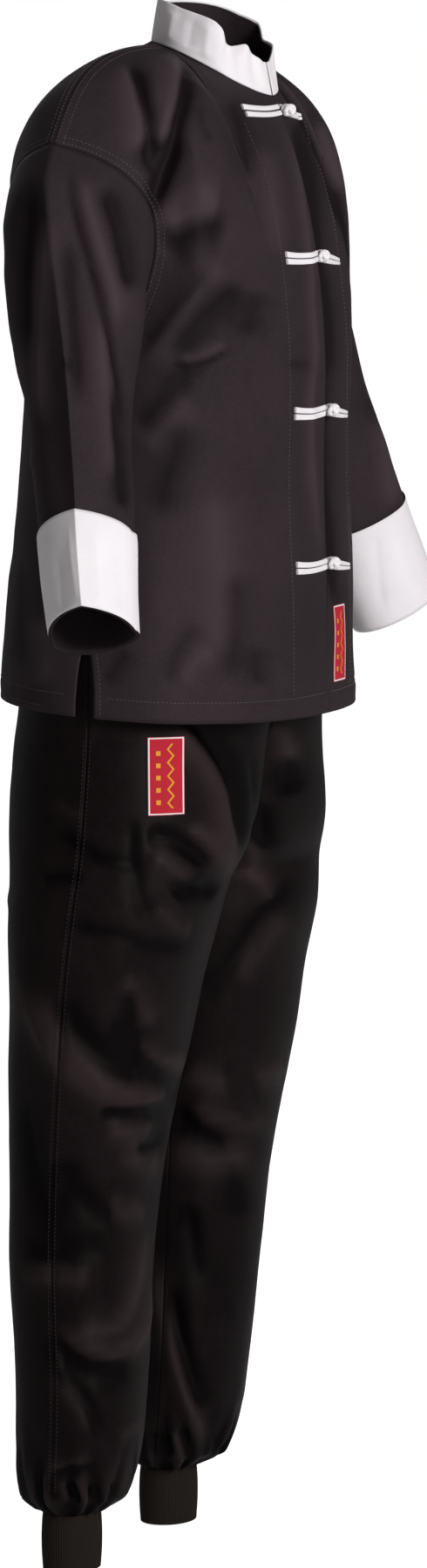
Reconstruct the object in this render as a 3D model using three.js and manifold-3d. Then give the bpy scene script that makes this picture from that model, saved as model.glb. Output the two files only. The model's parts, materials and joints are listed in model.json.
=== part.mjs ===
// A tai chi uniform, worn: a black jacket with a white stand collar, white turned cuffs and four white frog
// fastenings, over black trousers gathered into knitted ankle ribs. Sizes are in millimetres.
// The wearer faces -Y, +Z is up and +X is the wearer's left. The origin is level with the base of the neck.
import * as THREE from 'three';
import { mergeVertices } from 'three/addons/utils/BufferGeometryUtils.js';
import Module from 'manifold-3d';

const wasm = await Module();
wasm.setup();

// Cloth and seams
const CLOTH = 2;
const CUFF_CLOTH = 1.6;
const FACING_CLOTH = 1.2;
const RIB_CLOTH = 2;
const LABEL_CLOTH = 1;
const SEAM_GAP = 0.3;
const SEAM_MITRE = 1.3;
const ARMPIT_EASE = 1;

// Jacket
const NECK = { halfWidth: 70, halfDepth: 57, centreY: -40, drop: 50, dropCurve: 1.9, seamTurn: 55 };
const COLLAR_END_TURN = 178;
const COLLAR_LEAN = 6;
const COLLAR_SEAT = 0.5;
const FACING_SET_DOWN = 1;
const COLLAR_ROWS = [1, 0.66, 0.33, 0];
const ARMPIT_LEVEL = -300;
const HEM_LEVEL = -603;
const SLIT = { top: -540, width: 9, rounding: 24 };
const FRONT_PARTING = { level: -508, reach: 34, width: 2.4 };
const HEM_TILT = 0.06;
const BODY_ROUNDNESS = { front: 0.66, back: 0.56 };
const CHEST_NECK_SHARE = 0.22;
const TOP_NECK_SHARE = 0.36;
const NECK_COLUMNS = { front: 7, back: 3 };
const SHOULDER_COLUMNS = 7;
const YOKE_ROWS = 12;
const LOWER_ROWS = 8;
const CUFF_START = 0.745;
const SLEEVE_TURN = 16;
const SLEEVE_BLEND = 0.42;
const CREASE_SHARPNESS = 1;
const TANGENT_REACH = 0.02;

// Fastenings and labels
const FROG_LEVELS = [-63, -195, -335, -475];
const FROG = { start: 4, reach: 66, height: 12.5, rise: 3.4, knot: 15, steps: 6, lift: 0.7, sag: 1.5 };
const FROG_KNOT_SHAPE = [1.1, 0.8, 1.05];
const RAY_START = 400;
const JACKET_LABEL = { x: 31, y: 0, level: -550, width: 34, height: 70, turn: 0, lift: 0.4 };
const TROUSER_LABEL = { x: -168, y: -58, level: -656, width: 34, height: 70, turn: -62, lift: 1.2 };

// Trousers
const LEG_CENTRE = 115;
const LEG_PARTING = { top: -700, reach: 160 };
const LEG_COLUMNS = 12;
const GATHER_DEPTH = 2.2;
const SEAM_GATHER_SHARE = 0.5;
const WAISTBAND = { halfWidth: 163, front: 113, back: 118, top: -418, height: 36.8, points: 28 };
const ANKLE_RIB = { wide: 33.5, deep: 25.4, top: -1346.7, bottom: -1400, ribs: 36, relief: 0.9 };

const SHOULDER_SEAM = [
  { x: 120, y: 4, z: -7 },
  { x: 170, y: 12, z: -22 },
  { x: 210, y: 15, z: -46 },
  { x: 245, y: 17, z: -90 },
];

// Jacket sections below the armpit: half width, depth in front and behind, and the side seam's y.
const BODY_SECTIONS = [
  { level: -300, side: 203, front: 149, back: 121, seamY: -5 },
  { level: -400, side: 205, front: 147, back: 130, seamY: -3 },
  { level: -500, side: 210, front: 151, back: 138, seamY: 0 },
  { level: -603, side: 217, front: 151, back: 147, seamY: 0 },
];

// How the cloth leaves the neck and shoulder line and arrives at the armpit level, from the centre line
// (place 0) past the shoulder seam's neck end to the armhole (place 1).
const FRONT_YOKE = [
  { place: 0, leaveX: 0, leaveY: -95, leaveZ: -170, arriveX: 0, arriveY: -8, arriveZ: -300 },
  { place: 0.12, leaveX: 60, leaveY: -130, leaveZ: -150, arriveX: 0, arriveY: -8, arriveZ: -300 },
  { place: 0.24, leaveX: 160, leaveY: -190, leaveZ: -110, arriveX: 0, arriveY: -10, arriveZ: -310 },
  { place: 0.36, leaveX: 210, leaveY: -285, leaveZ: -50, arriveX: -30, arriveY: -15, arriveZ: -330 },
  { place: 0.5, leaveX: 60, leaveY: -440, leaveZ: -60, arriveX: 0, arriveY: -5, arriveZ: -330 },
  { place: 0.7, leaveX: -10, leaveY: -470, leaveZ: -60, arriveX: 0, arriveY: 10, arriveZ: -320 },
  { place: 0.9, leaveX: -190, leaveY: -430, leaveZ: -85, arriveX: 60, arriveY: 120, arriveZ: -250 },
  { place: 1, leaveX: -190, leaveY: -380, leaveZ: -90, arriveX: 60, arriveY: 150, arriveZ: -220 },
];
const BACK_YOKE = [
  { place: 0, leaveX: 0, leaveY: 230, leaveZ: -110, arriveX: 0, arriveY: 0, arriveZ: -300 },
  { place: 0.36, leaveX: 10, leaveY: 300, leaveZ: -70, arriveX: 0, arriveY: 0, arriveZ: -320 },
  { place: 0.7, leaveX: 0, leaveY: 300, leaveZ: -60, arriveX: 0, arriveY: 0, arriveZ: -320 },
  { place: 0.9, leaveX: -150, leaveY: 380, leaveZ: -50, arriveX: 60, arriveY: -120, arriveZ: -250 },
  { place: 1, leaveX: -120, leaveY: 330, leaveZ: -60, arriveX: 60, arriveY: -160, arriveZ: -220 },
];

// Sleeve sections along the arm: centre, half width to the outer crease and half depth front to back.
const SLEEVE_SECTIONS = [
  { along: 0, x: 225, y: 6, z: -195, wide: 68, deep: 64 },
  { along: 0.37, x: 280, y: -22, z: -316, wide: 63, deep: 47 },
  { along: 0.76, x: 325, y: -49, z: -438, wide: 59, deep: 42 },
  { along: 1, x: 358, y: -69, z: -516, wide: 57, deep: 38 },
];
const SLEEVE_STATIONS = [0, 0.05, 0.11, 0.18, 0.25, 0.33, 0.41, 0.5, 0.58, 0.66, CUFF_START, 0.83, 0.915, 1];
const LEFT_ARM_DROP = { x: 10, y: -14, z: -26 };

const COLLAR_HEIGHTS = [
  { turn: 0, height: 35 },
  { turn: 90, height: 39 },
  { turn: 135, height: 38 },
  { turn: 155, height: 31 },
  { turn: 180, height: 30 },
];

const COLLAR_BUCKLES = [
  { at: -137, reach: 9, depth: -5 },
  { at: -118, reach: 10, depth: 3 },
];

// Trouser sections above the crotch: the centre seam, the pull of the cloth there, the side seam and how
// square the section is at the side.
const TRUNK_FRONT = [
  { level: -455, inX: 0, inY: -113, pullX: 92, pullY: 0, side: 163, sideY: 0, square: 62 },
  { level: -495, inX: 0, inY: -121, pullX: 105, pullY: -2, side: 190, sideY: 0, square: 68 },
  { level: -535, inX: 0, inY: -119, pullX: 96, pullY: -8, side: 209.9, sideY: 0, square: 74 },
  { level: -600, inX: 0, inY: -102, pullX: 70, pullY: -32, side: 206, sideY: 0, square: 92 },
  { level: -645, inX: 0, inY: -80, pullX: 42, pullY: -62, side: 209, sideY: 1, square: 104 },
  { level: -700, inX: 0, inY: -60, pullX: 24, pullY: -84, side: 214, sideY: 3, square: 122 },
  { level: -735, inX: 1, inY: -28, pullX: 14, pullY: -112, side: 218, sideY: 5, square: 130 },
  { level: -760, inX: 2, inY: 12, pullX: 4, pullY: -134, side: 221, sideY: 8, square: 133 },
];
const TRUNK_BACK = [
  { level: -455, inX: 0, inY: 118, pullX: 92, pullY: 0, side: 163, sideY: 0, square: 64 },
  { level: -495, inX: 0, inY: 120, pullX: 92, pullY: 0, side: 190, sideY: 0, square: 64 },
  { level: -535, inX: 0, inY: 124, pullX: 88, pullY: 2, side: 209.9, sideY: 0, square: 66 },
  { level: -600, inX: 0, inY: 126, pullX: 84, pullY: 8, side: 206, sideY: 0, square: 80 },
  { level: -645, inX: 0, inY: 122, pullX: 72, pullY: 24, side: 209, sideY: 1, square: 104 },
  { level: -700, inX: 0, inY: 102, pullX: 44, pullY: 48, side: 214, sideY: 3, square: 118 },
  { level: -735, inX: 1, inY: 66, pullX: 20, pullY: 82, side: 218, sideY: 5, square: 126 },
  { level: -760, inX: 2, inY: 12, pullX: 4, pullY: 130, side: 221, sideY: 8, square: 130 },
];

// Leg sections below the crotch: half width, half depth, and how far back each leg's centre lies.
const LEG_SECTIONS = [
  { level: -800, wide: 108, deep: 95, rightY: 13, leftY: 2 },
  { level: -850, wide: 103, deep: 85, rightY: 21, leftY: 7 },
  { level: -910, wide: 97, deep: 81, rightY: 27, leftY: 9 },
  { level: -980, wide: 84, deep: 73, rightY: 37, leftY: 15 },
  { level: -1060, wide: 75, deep: 67, rightY: 44, leftY: 23 },
  { level: -1140, wide: 71, deep: 65, rightY: 47, leftY: 28 },
  { level: -1210, wide: 67, deep: 60, rightY: 45, leftY: 32 },
  { level: -1265, wide: 64, deep: 59, rightY: 47, leftY: 37 },
  { level: -1305, wide: 61, deep: 56, rightY: 50, leftY: 41 },
  { level: -1332, wide: 52, deep: 47, rightY: 53, leftY: 45 },
  { level: -1346.5, wide: 33.9, deep: 25.8, rightY: 56, leftY: 53 },
];

// A doubled cord's crests and groove across its height, and how far each stands out.
const FROG_CRESTS = [
  { share: 0.06, out: 0.8 },
  { share: 0.27, out: 1 },
  { share: 0.5, out: 0.4 },
  { share: 0.73, out: 1 },
  { share: 0.94, out: 0.8 },
];

// The largest folds, each a path of [across, height] as seen level from one side. The view is the angle
// of the eye round the wearer from straight in front, positive towards the left side.
const FRONT_QUARTER = -68;
const FAR_QUARTER = 68;
const FOLD_FACING = 0.45;
const BACK_QUARTER = 150;
const FOLDS = [
  { on: 'body', view: FRONT_QUARTER, width: 10, depth: -6,
    path: [[2, -9], [10, -29], [7, -59], [0, -99], [-10, -123], [-18, -143]] },
  { on: 'body', view: FRONT_QUARTER, width: 11, depth: -5, path: [[-37, -22], [-22, -68], [-21, -118]] },
  { on: 'body', view: FRONT_QUARTER, width: 11, depth: -5,
    path: [[0, -305], [25, -296], [45, -290], [68, -282]] },
  { on: 'body', view: FRONT_QUARTER, width: 20, depth: -6, path: [[36, -603], [34, -540], [26, -480]] },
  { on: 'body', view: FRONT_QUARTER, width: 22, depth: 5, path: [[-10, -603], [-14, -520], [-18, -440]] },
  { on: 'body', view: FAR_QUARTER, width: 14, depth: -6, path: [[0, -12], [-8, -60], [4, -120]] },
  { on: 'body', view: FAR_QUARTER, width: 20, depth: -6, path: [[-30, -603], [-24, -520], [-12, -430]] },
  { on: 'body', view: BACK_QUARTER, width: 22, depth: -7, path: [[-70, -603], [-62, -500], [-36, -400]] },
  { on: 'body', view: BACK_QUARTER, width: 20, depth: -6, path: [[60, -603], [48, -510], [40, -420]] },
  { on: 'body', view: BACK_QUARTER, width: 16, depth: -5,
    path: [[-90, -190], [-50, -215], [0, -222], [60, -205]] },
  { on: 'sleeve', view: FRONT_QUARTER, width: 12, depth: -6,
    path: [[-96, -110], [-75, -196], [-49, -312], [-40, -350]] },
  { on: 'sleeve', view: FRONT_QUARTER, width: 11, depth: -4,
    path: [[-120, -250], [-104, -330], [-96, -400]] },
  { on: 'sleeve', view: FAR_QUARTER, width: 12, depth: -6,
    path: [[98, -120], [80, -210], [60, -320]] },
  { on: 'sleeve', view: BACK_QUARTER, width: 12, depth: -5,
    path: [[-190, -250], [-220, -300], [-262, -330]] },
  { on: 'leg', view: FRONT_QUARTER, width: 12, depth: -6,
    path: [[5, -608], [29, -650], [51, -682], [58, -700]] },
  { on: 'leg', view: FRONT_QUARTER, width: 12, depth: -6, path: [[-24, -724], [15, -735], [29, -750]] },
  { on: 'leg', view: FRONT_QUARTER, width: 11, depth: 6,
   
    path: [
      [-137, -843], [-122, -868], [-108, -899], [-86, -934],
      [-59, -953], [-35, -957], [-10, -948], [5, -933],
    ] },
  { on: 'leg', view: FRONT_QUARTER, width: 11, depth: -5, path: [[-66, -964], [-10, -968]] },
  { on: 'leg', view: FRONT_QUARTER, width: 11, depth: -5,
    path: [[-22, -1068], [-27, -1104], [-39, -1145], [-54, -1167], [-74, -1172], [-109, -1150]] },
  { on: 'leg', view: FRONT_QUARTER, width: 12, depth: -5, path: [[-5, -990], [20, -1020], [52, -1030]] },
  { on: 'leg', view: FRONT_QUARTER, width: 11, depth: 5,
    path: [[-12, -1150], [4, -1210], [18, -1255], [28, -1290]] },
  { on: 'leg', view: FAR_QUARTER, width: 14, depth: -6, path: [[-30, -640], [-10, -700], [10, -740]] },
  { on: 'leg', view: FAR_QUARTER, width: 13, depth: -6,
    path: [[130, -860], [90, -920], [40, -948], [10, -930]] },
  { on: 'leg', view: FAR_QUARTER, width: 13, depth: -5, path: [[100, -1120], [60, -1160], [30, -1120]] },
  { on: 'leg', view: BACK_QUARTER, width: 15, depth: -7, path: [[-150, -735], [-80, -760], [-20, -745]] },
  { on: 'leg', view: BACK_QUARTER, width: 15, depth: -7, path: [[150, -740], [90, -764], [20, -748]] },
  { on: 'leg', view: BACK_QUARTER, width: 13, depth: -6, path: [[-140, -965], [-100, -990], [-60, -970]] },
  { on: 'leg', view: BACK_QUARTER, width: 13, depth: -6, path: [[60, -985], [100, -1005], [140, -985]] },
  { on: 'leg', view: BACK_QUARTER, width: 12, depth: -5, path: [[-145, -1170], [-105, -1195], [-65, -1180]] },
  { on: 'leg', view: BACK_QUARTER, width: 12, depth: -5, path: [[70, -1160], [110, -1190], [150, -1175]] },
];

const BLACK_DRILL = new THREE.MeshStandardMaterial({ color: 0x231d20, roughness: 0.8, metalness: 0 });
const BLACK_TROUSER = new THREE.MeshStandardMaterial({ color: 0x1c1716, roughness: 0.75, metalness: 0 });
const WHITE_COTTON = new THREE.MeshStandardMaterial({ color: 0xf0e8ec, roughness: 0.85, metalness: 0 });
const BLACK_KNIT = new THREE.MeshStandardMaterial({ color: 0x171210, roughness: 0.95, metalness: 0 });
const RED_WOVEN = new THREE.MeshStandardMaterial({ color: 0xc8203a, roughness: 0.7, metalness: 0 });

const vector = (x, y, z) => new THREE.Vector3(x, y, z);
const smooth = (share) => THREE.MathUtils.smoothstep(share, 0, 1);

function hermite(start, leave, end, arrive, t) {
  const square = t * t;
  const cube = square * t;
  return start * (2 * cube - 3 * square + 1) + leave * (cube - 2 * square + t)
    + end * (3 * square - 2 * cube) + arrive * (cube - square);
}

// Reads a table at a value of its key column, smoothly between its rows.
function tableAt(table, key, value) {
  const last = table.length - 1;
  const direction = Math.sign(table[last][key] - table[0][key]);
  let index = 0;
  while (index < last - 1 && direction * (value - table[index + 1][key]) > 0) index += 1;
  const before = table[Math.max(index - 1, 0)];
  const start = table[index];
  const end = table[index + 1];
  const after = table[Math.min(index + 2, last)];
  const span = end[key] - start[key];
  const t = THREE.MathUtils.clamp((value - start[key]) / span, 0, 1);
  const row = {};
  for (const name of Object.keys(start)) {
    const leave = span * (end[name] - before[name]) / (end[key] - before[key]);
    const arrive = span * (after[name] - start[name]) / (after[key] - start[key]);
    row[name] = hermite(start[name], leave, end[name], arrive, t);
  }
  return row;
}

// Grids of points: rows run down the piece, and columns run anticlockwise as seen from above.
function mirrored(rows) {
  return rows.map((row) => row.map((point) => vector(-point.x, point.y, point.z)).reverse());
}

function reversed(rows) {
  return rows.map((row) => [...row].reverse());
}

function middleOf(points) {
  return points.reduce((sum, point) => sum.add(point), vector(0, 0, 0)).divideScalar(points.length);
}

function outwardNormals(rows, ring) {
  const last = rows.length - 1;
  return rows.map((row, i) => row.map((point, j) => {
    const count = row.length;
    const right = ring ? row[(j + 1) % count] : row[Math.min(j + 1, count - 1)];
    const left = ring ? row[(j + count - 1) % count] : row[Math.max(j - 1, 0)];
    const up = rows[Math.max(i - 1, 0)][j].clone().sub(rows[Math.min(i + 1, last)][j]);
    return right.clone().sub(left).cross(up).normalize();
  }));
}

function moved(rows, distance, ring = false) {
  const normals = outwardNormals(rows, ring);
  return rows.map((row, i) => row.map((point, j) => point.clone().addScaledVector(normals[i][j], distance)));
}

// Draws the edges of a grid back into the piece by a distance.
function drawnBack(rows, distance, { ring = false, edges = 'top bottom left right' } = {}) {
  const last = rows.length - 1;
  const result = rows.map((row) => row.map((point) => point.clone()));
  const pull = (i, j, towardI, towardJ) => {
    const step = rows[towardI][towardJ].clone().sub(rows[i][j]).setLength(distance);
    result[i][j].add(step);
  };
  rows[0].forEach((_, j) => {
    if (edges.includes('top')) pull(0, j, 1, j);
    if (edges.includes('bottom')) pull(last, j, last - 1, j);
  });
  rows.forEach((row, i) => {
    const end = row.length - 1;
    if (!ring && edges.includes('left')) pull(i, 0, i, 1);
    if (!ring && edges.includes('right')) pull(i, end, i, end - 1);
  });
  return result;
}

// A closed body between an outer and an inner grid, with a rim round its edges.
function wallBetween(outer, inner, ring = false) {
  const columns = outer[0].length;
  const last = outer.length - 1;
  const positions = [...outer.flat(), ...inner.flat()].flatMap((point) => [point.x, point.y, point.z]);
  const outerAt = (i, j) => i * columns + (j % columns);
  const innerAt = (i, j) => outer.length * columns + outerAt(i, j);
  const triangles = [];
  const quad = (a, b, c, d) => triangles.push(a, b, c, a, c, d);
  const spans = ring ? columns : columns - 1;
  for (let j = 0; j < spans; j += 1) {
    for (let i = 0; i < last; i += 1) {
      quad(outerAt(i, j), outerAt(i + 1, j), outerAt(i + 1, j + 1), outerAt(i, j + 1));
      quad(innerAt(i, j), innerAt(i, j + 1), innerAt(i + 1, j + 1), innerAt(i + 1, j));
    }
    quad(outerAt(0, j), outerAt(0, j + 1), innerAt(0, j + 1), innerAt(0, j));
    quad(outerAt(last, j + 1), outerAt(last, j), innerAt(last, j), innerAt(last, j + 1));
  }
  if (!ring) {
    for (let i = 0; i < last; i += 1) {
      quad(outerAt(i + 1, 0), outerAt(i, 0), innerAt(i, 0), innerAt(i + 1, 0));
      const end = columns - 1;
      quad(outerAt(i, end), outerAt(i + 1, end), innerAt(i + 1, end), innerAt(i, end));
    }
  }
  const geometry = new THREE.BufferGeometry();
  geometry.setAttribute('position', new THREE.Float32BufferAttribute(positions, 3));
  geometry.setIndex(triangles);
  return geometry;
}

// A cloth wall of even thickness under an outer grid. Its inner edges are cut back, so that two walls can
// meet at an angle.
function clothWall(outer, thickness, ring = false) {
  const inner = drawnBack(moved(outer, -thickness, ring), SEAM_MITRE, { ring });
  return wallBetween(outer, inner, ring);
}

function piece(name, geometry, material) {
  const mesh = new THREE.Mesh(geometry, material);
  mesh.name = name;
  return mesh;
}

// Folds
function distanceToPath(path, across, height) {
  let nearest = Infinity;
  for (let k = 0; k < path.length - 1; k += 1) {
    const [startAcross, startHeight] = path[k];
    const runAcross = path[k + 1][0] - startAcross;
    const runHeight = path[k + 1][1] - startHeight;
    const reach = ((across - startAcross) * runAcross + (height - startHeight) * runHeight)
      / (runAcross ** 2 + runHeight ** 2);
    const share = THREE.MathUtils.clamp(reach, 0, 1);
    const gap = Math.hypot(
      across - startAcross - share * runAcross,
      height - startHeight - share * runHeight,
    );
    nearest = Math.min(nearest, gap);
  }
  return nearest;
}

// How far the folds move a point of a garment part out from the middle of its section.
function foldRelief(part, point, outward) {
  let relief = 0;
  for (const fold of FOLDS.filter((entry) => entry.on === part)) {
    const eye = THREE.MathUtils.degToRad(fold.view);
    const facing = outward.x * Math.sin(eye) - outward.y * Math.cos(eye);
    const across = point.x * Math.cos(eye) + point.y * Math.sin(eye);
    const distance = distanceToPath(fold.path, across, point.z);
    relief += fold.depth * Math.exp(-((distance / fold.width) ** 2)) * smooth(facing / FOLD_FACING);
  }
  return relief;
}

function folded(rows, part, middleAt) {
  return rows.map((row, i) => row.map((point) => {
    const outward = point.clone().sub(middleAt(point, i)).setZ(0).normalize();
    return point.clone().addScaledVector(outward, foldRelief(part, point, outward));
  }));
}

// The neckline, by the turn round the neck from the centre back towards the left shoulder.
function necklineAt(turn) {
  const angle = THREE.MathUtils.degToRad(turn);
  const drop = NECK.drop * ((1 - Math.cos(angle)) / 2) ** NECK.dropCurve;
  return vector(NECK.halfWidth * Math.sin(angle), NECK.centreY + NECK.halfDepth * Math.cos(angle), -drop);
}

// The turns of a left half panel's columns along the neckline, from its centre line to the shoulder seam.
function neckTurns(face) {
  const centreTurn = face === 'front' ? 180 : 0;
  const count = NECK_COLUMNS[face];
  return [...Array(count + 1).keys()].map((j) => THREE.MathUtils.lerp(centreTurn, NECK.seamTurn, j / count));
}

// The top edge of a left half panel: along the neckline from its centre line, then the shoulder seam.
function topEdge(face) {
  const neck = neckTurns(face).slice(0, -1).map(necklineAt);
  const seam = [necklineAt(NECK.seamTurn), ...SHOULDER_SEAM.map(({ x, y, z }) => vector(x, y, z))];
  const shoulder = new THREE.CatmullRomCurve3(seam, false, 'centripetal');
  return [...neck, ...shoulder.getSpacedPoints(SHOULDER_COLUMNS)];
}

// How far along a section, or along the top edge, a column lies, where the shoulder seam's neck end is at
// the given share of the way.
function columnShare(face, column, neckShare) {
  const neck = NECK_COLUMNS[face];
  if (column <= neck) return neckShare * column / neck;
  return neckShare + (1 - neckShare) * (column - neck) / SHOULDER_COLUMNS;
}

// One point of a jacket section below the armpit, from the centre line (share 0) to the side seam (share 1).
function bodyPoint(face, level, share) {
  const section = tableAt(BODY_SECTIONS, 'level', level);
  const depth = face === 'front' ? -section.front : section.back;
  const roundness = BODY_ROUNDNESS[face];
  const curve = new THREE.CubicBezierCurve3(
    vector(0, depth, level),
    vector(section.side * roundness, depth, level),
    vector(section.side, section.seamY + (depth - section.seamY) * roundness, level),
    vector(section.side, section.seamY, level),
  );
  return curve.getPoint(share);
}

// The left half of a jacket front or back: its columns run from the centre line to the armhole and side.
function bodyHalf(face) {
  const yoke = face === 'front' ? FRONT_YOKE : BACK_YOKE;
  const top = topEdge(face);
  const rows = [];
  for (let i = 0; i < YOKE_ROWS; i += 1) {
    rows.push(top.map((start, j) => {
      const pull = tableAt(yoke, 'place', columnShare(face, j, TOP_NECK_SHARE));
      const end = bodyPoint(face, ARMPIT_LEVEL, columnShare(face, j, CHEST_NECK_SHARE));
      const t = i / YOKE_ROWS;
      return vector(
        hermite(start.x, pull.leaveX, end.x, pull.arriveX, t),
        hermite(start.y, pull.leaveY, end.y, pull.arriveY, t),
        hermite(start.z, pull.leaveZ, end.z, pull.arriveZ, t),
      );
    }));
  }
  for (let i = 0; i <= LOWER_ROWS; i += 1) {
    const share = i / LOWER_ROWS;
    const level = THREE.MathUtils.lerp(ARMPIT_LEVEL, HEM_LEVEL, share);
    rows.push(top.map((_, j) => {
      const point = bodyPoint(face, level, columnShare(face, j, CHEST_NECK_SHARE));
      return point.setZ(point.z + HEM_TILT * share ** 2 * point.y);
    }));
  }
  return rows;
}

function foldedBody(rows) {
  return folded(rows, 'body', (point) => vector(0, 0, point.z));
}

// Opens the side seam into a slit above the hem.
function slitCut(rows, edge) {
  return rows.map((row) => {
    const end = edge === 'right' ? row.length - 1 : 0;
    const inward = edge === 'right' ? end - 1 : 1;
    const open = smooth((SLIT.top - row[end].z) / SLIT.rounding) * SLIT.width;
    const result = row.map((point) => point.clone());
    if (open > 0) result[end].add(row[inward].clone().sub(row[end]).setLength(open));
    return result;
  });
}

// Parts the two fronts slightly between the last fastening and the hem.
function frontParted(rows, edge) {
  return rows.map((row) => {
    const end = edge === 'left' ? 0 : row.length - 1;
    const share = Math.abs(row[end].z - FRONT_PARTING.level) / FRONT_PARTING.reach;
    const result = row.map((point) => point.clone());
    result[end].x += (edge === 'left' ? 1 : -1) * FRONT_PARTING.width * (1 - smooth(share));
    return result;
  });
}

// Eases the armhole edge back towards the armpit, where the sleeve folds sharply under it.
function armpitEased(rows, edge) {
  return rows.map((row, i) => {
    const end = edge === 'right' ? row.length - 1 : 0;
    const inward = edge === 'right' ? end - 1 : 1;
    const ease = ARMPIT_EASE * smooth(i / YOKE_ROWS * 2 - 1) * smooth((YOKE_ROWS + 2 - i) / 2);
    const result = row.map((point) => point.clone());
    if (ease > 0) result[end].add(row[inward].clone().sub(row[end]).setLength(ease));
    return result;
  });
}

const SEAM_HALF = SEAM_GAP / 2;
const frontHalf = bodyHalf('front');
const backHalf = bodyHalf('back');
const frontLeftGrid = foldedBody(frontHalf);
const frontRightGrid = foldedBody(mirrored(frontHalf));
const backLeftHalf = reversed(backHalf);
const backRightHalf = mirrored(backLeftHalf);
const backGrid = foldedBody(backLeftHalf.map((row, i) => [...row, ...backRightHalf[i].slice(1)]));

const sideCut = (rows, edge) => armpitEased(slitCut(rows, edge), edge);
const frontLeft = drawnBack(sideCut(frontParted(frontLeftGrid, 'left'), 'right'), SEAM_HALF);
const frontRight = drawnBack(sideCut(frontParted(frontRightGrid, 'right'), 'left'), SEAM_HALF);
const back = drawnBack(sideCut(sideCut(backGrid, 'left'), 'right'), SEAM_HALF);

// The armhole, from the shoulder seam down the front to the armpit and up the back. On the right side it is
// read the other way, so that its points still run anticlockwise as seen from above.
function armhole(side) {
  const yokeRows = [...Array(YOKE_ROWS + 1).keys()];
  const last = backGrid[0].length - 1;
  const frontEdge = yokeRows.map((i) => (side === 'left' ? frontLeftGrid[i].at(-1) : frontRightGrid[i][0]));
  const backEdge = yokeRows.map((i) => backGrid[i][side === 'left' ? 0 : last]);
  return [...frontEdge, ...backEdge.slice(1, -1).reverse()];
}

// A sleeve section turned about the arm, so that its outer crease lies a little to the front.
function sleeveRing(side, along, count) {
  const section = tableAt(SLEEVE_SECTIONS, 'along', along);
  const next = tableAt(SLEEVE_SECTIONS, 'along', Math.min(along + TANGENT_REACH, 1));
  const previous = tableAt(SLEEVE_SECTIONS, 'along', Math.max(along - TANGENT_REACH, 0));
  const arm = vector(next.x - previous.x, next.y - previous.y, next.z - previous.z).normalize();
  const outward = vector(1, 0, 0).addScaledVector(arm, -arm.x).normalize()
    .applyAxisAngle(arm, THREE.MathUtils.degToRad(SLEEVE_TURN));
  const forward = arm.clone().cross(outward);
  const drop = side === 'left' ? along : 0;
  const centre = vector(
    section.x + LEFT_ARM_DROP.x * drop,
    section.y + LEFT_ARM_DROP.y * drop,
    section.z + LEFT_ARM_DROP.z * drop,
  );
  const points = [];
  for (let j = 0; j < count; j += 1) {
    const angle = 2 * Math.PI * j / count;
    const pointed = 1 + CREASE_SHARPNESS * Math.max(0, Math.cos(angle)) ** 2;
    const swell = Math.sign(Math.sin(angle)) * Math.abs(Math.sin(angle)) ** pointed;
    points.push(centre.clone().addScaledVector(outward, section.wide * Math.cos(angle))
      .addScaledVector(forward, section.deep * swell));
  }
  if (side === 'left') return points;
  return points.map((point) => vector(-point.x, point.y, point.z));
}

// The sleeve runs from the armhole's own points to regular sections along the arm.
function sleeveGrid(side) {
  const hole = armhole(side);
  const holeCentre = middleOf(hole);
  const rows = SLEEVE_STATIONS.map((along) => {
    const ring = sleeveRing(side, along, hole.length);
    const share = smooth(along / SLEEVE_BLEND);
    const travel = along === 0 ? vector(0, 0, 0) : middleOf(ring).sub(holeCentre);
    return hole.map((point, j) => point.clone().add(travel).lerp(ring[j], share));
  });
  const centres = rows.map(middleOf);
  const creased = folded(rows, 'sleeve', (point, i) => centres[i].clone().setZ(point.z));
  creased[0] = rows[0];
  if (side === 'right') return creased;
  return creased.map((row) => [row[0], ...row.slice(1).reverse()]);
}

function sleeve(side) {
  const grid = sleeveGrid(side);
  const cuffRow = SLEEVE_STATIONS.indexOf(CUFF_START);
  const outer = drawnBack(grid, SEAM_GAP, { ring: true, edges: 'top' });
  const cuffInner = moved(grid.slice(cuffRow), SEAM_GAP, true);
  const cuffOuter = moved(grid.slice(cuffRow), SEAM_GAP + CUFF_CLOTH, true);
  return [
    piece(`sleeve_${side}`, clothWall(outer, CLOTH, true), BLACK_DRILL),
    piece(`cuff_${side}`, wallBetween(cuffOuter, cuffInner, true), WHITE_COTTON),
  ];
}

// The collar buckles on the wearer's right: one dent, and beside it one swell.
function collarBuckle(turn) {
  return COLLAR_BUCKLES.reduce((sum, { at, reach, depth }) => {
    const distance = (turn - at) / reach;
    return sum + depth * Math.exp(-(distance ** 2));
  }, 0);
}

// The stand collar on the neckline, open at the centre front, and the black facing that shows inside it.
function collarGrid() {
  const half = [COLLAR_END_TURN, ...neckTurns('front').slice(1), ...neckTurns('back').slice(0, -1).reverse()];
  const turns = [...half, ...half.slice(0, -1).reverse().map((turn) => -turn)];
  return COLLAR_ROWS.map((share) => turns.map((turn) => {
    const base = necklineAt(turn);
    const { height } = tableAt(COLLAR_HEIGHTS, 'turn', Math.abs(turn));
    const inward = vector(-base.x, NECK.centreY - base.y, 0).setLength(COLLAR_LEAN * share);
    const buckle = share * collarBuckle(turn);
    const outward = vector(base.x, base.y - NECK.centreY, 0).normalize();
    return base.add(inward).addScaledVector(outward, buckle)
      .add(vector(0, 0, COLLAR_SEAT + height * share + buckle));
  }));
}

function collar() {
  const outer = collarGrid();
  const facing = drawnBack(moved(outer, -CLOTH - SEAM_GAP), FACING_SET_DOWN);
  return [
    piece('collar', wallBetween(outer, moved(outer, -CLOTH)), WHITE_COTTON),
    piece('collar_facing', wallBetween(facing, moved(facing, -FACING_CLOTH)), BLACK_DRILL),
  ];
}

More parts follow.
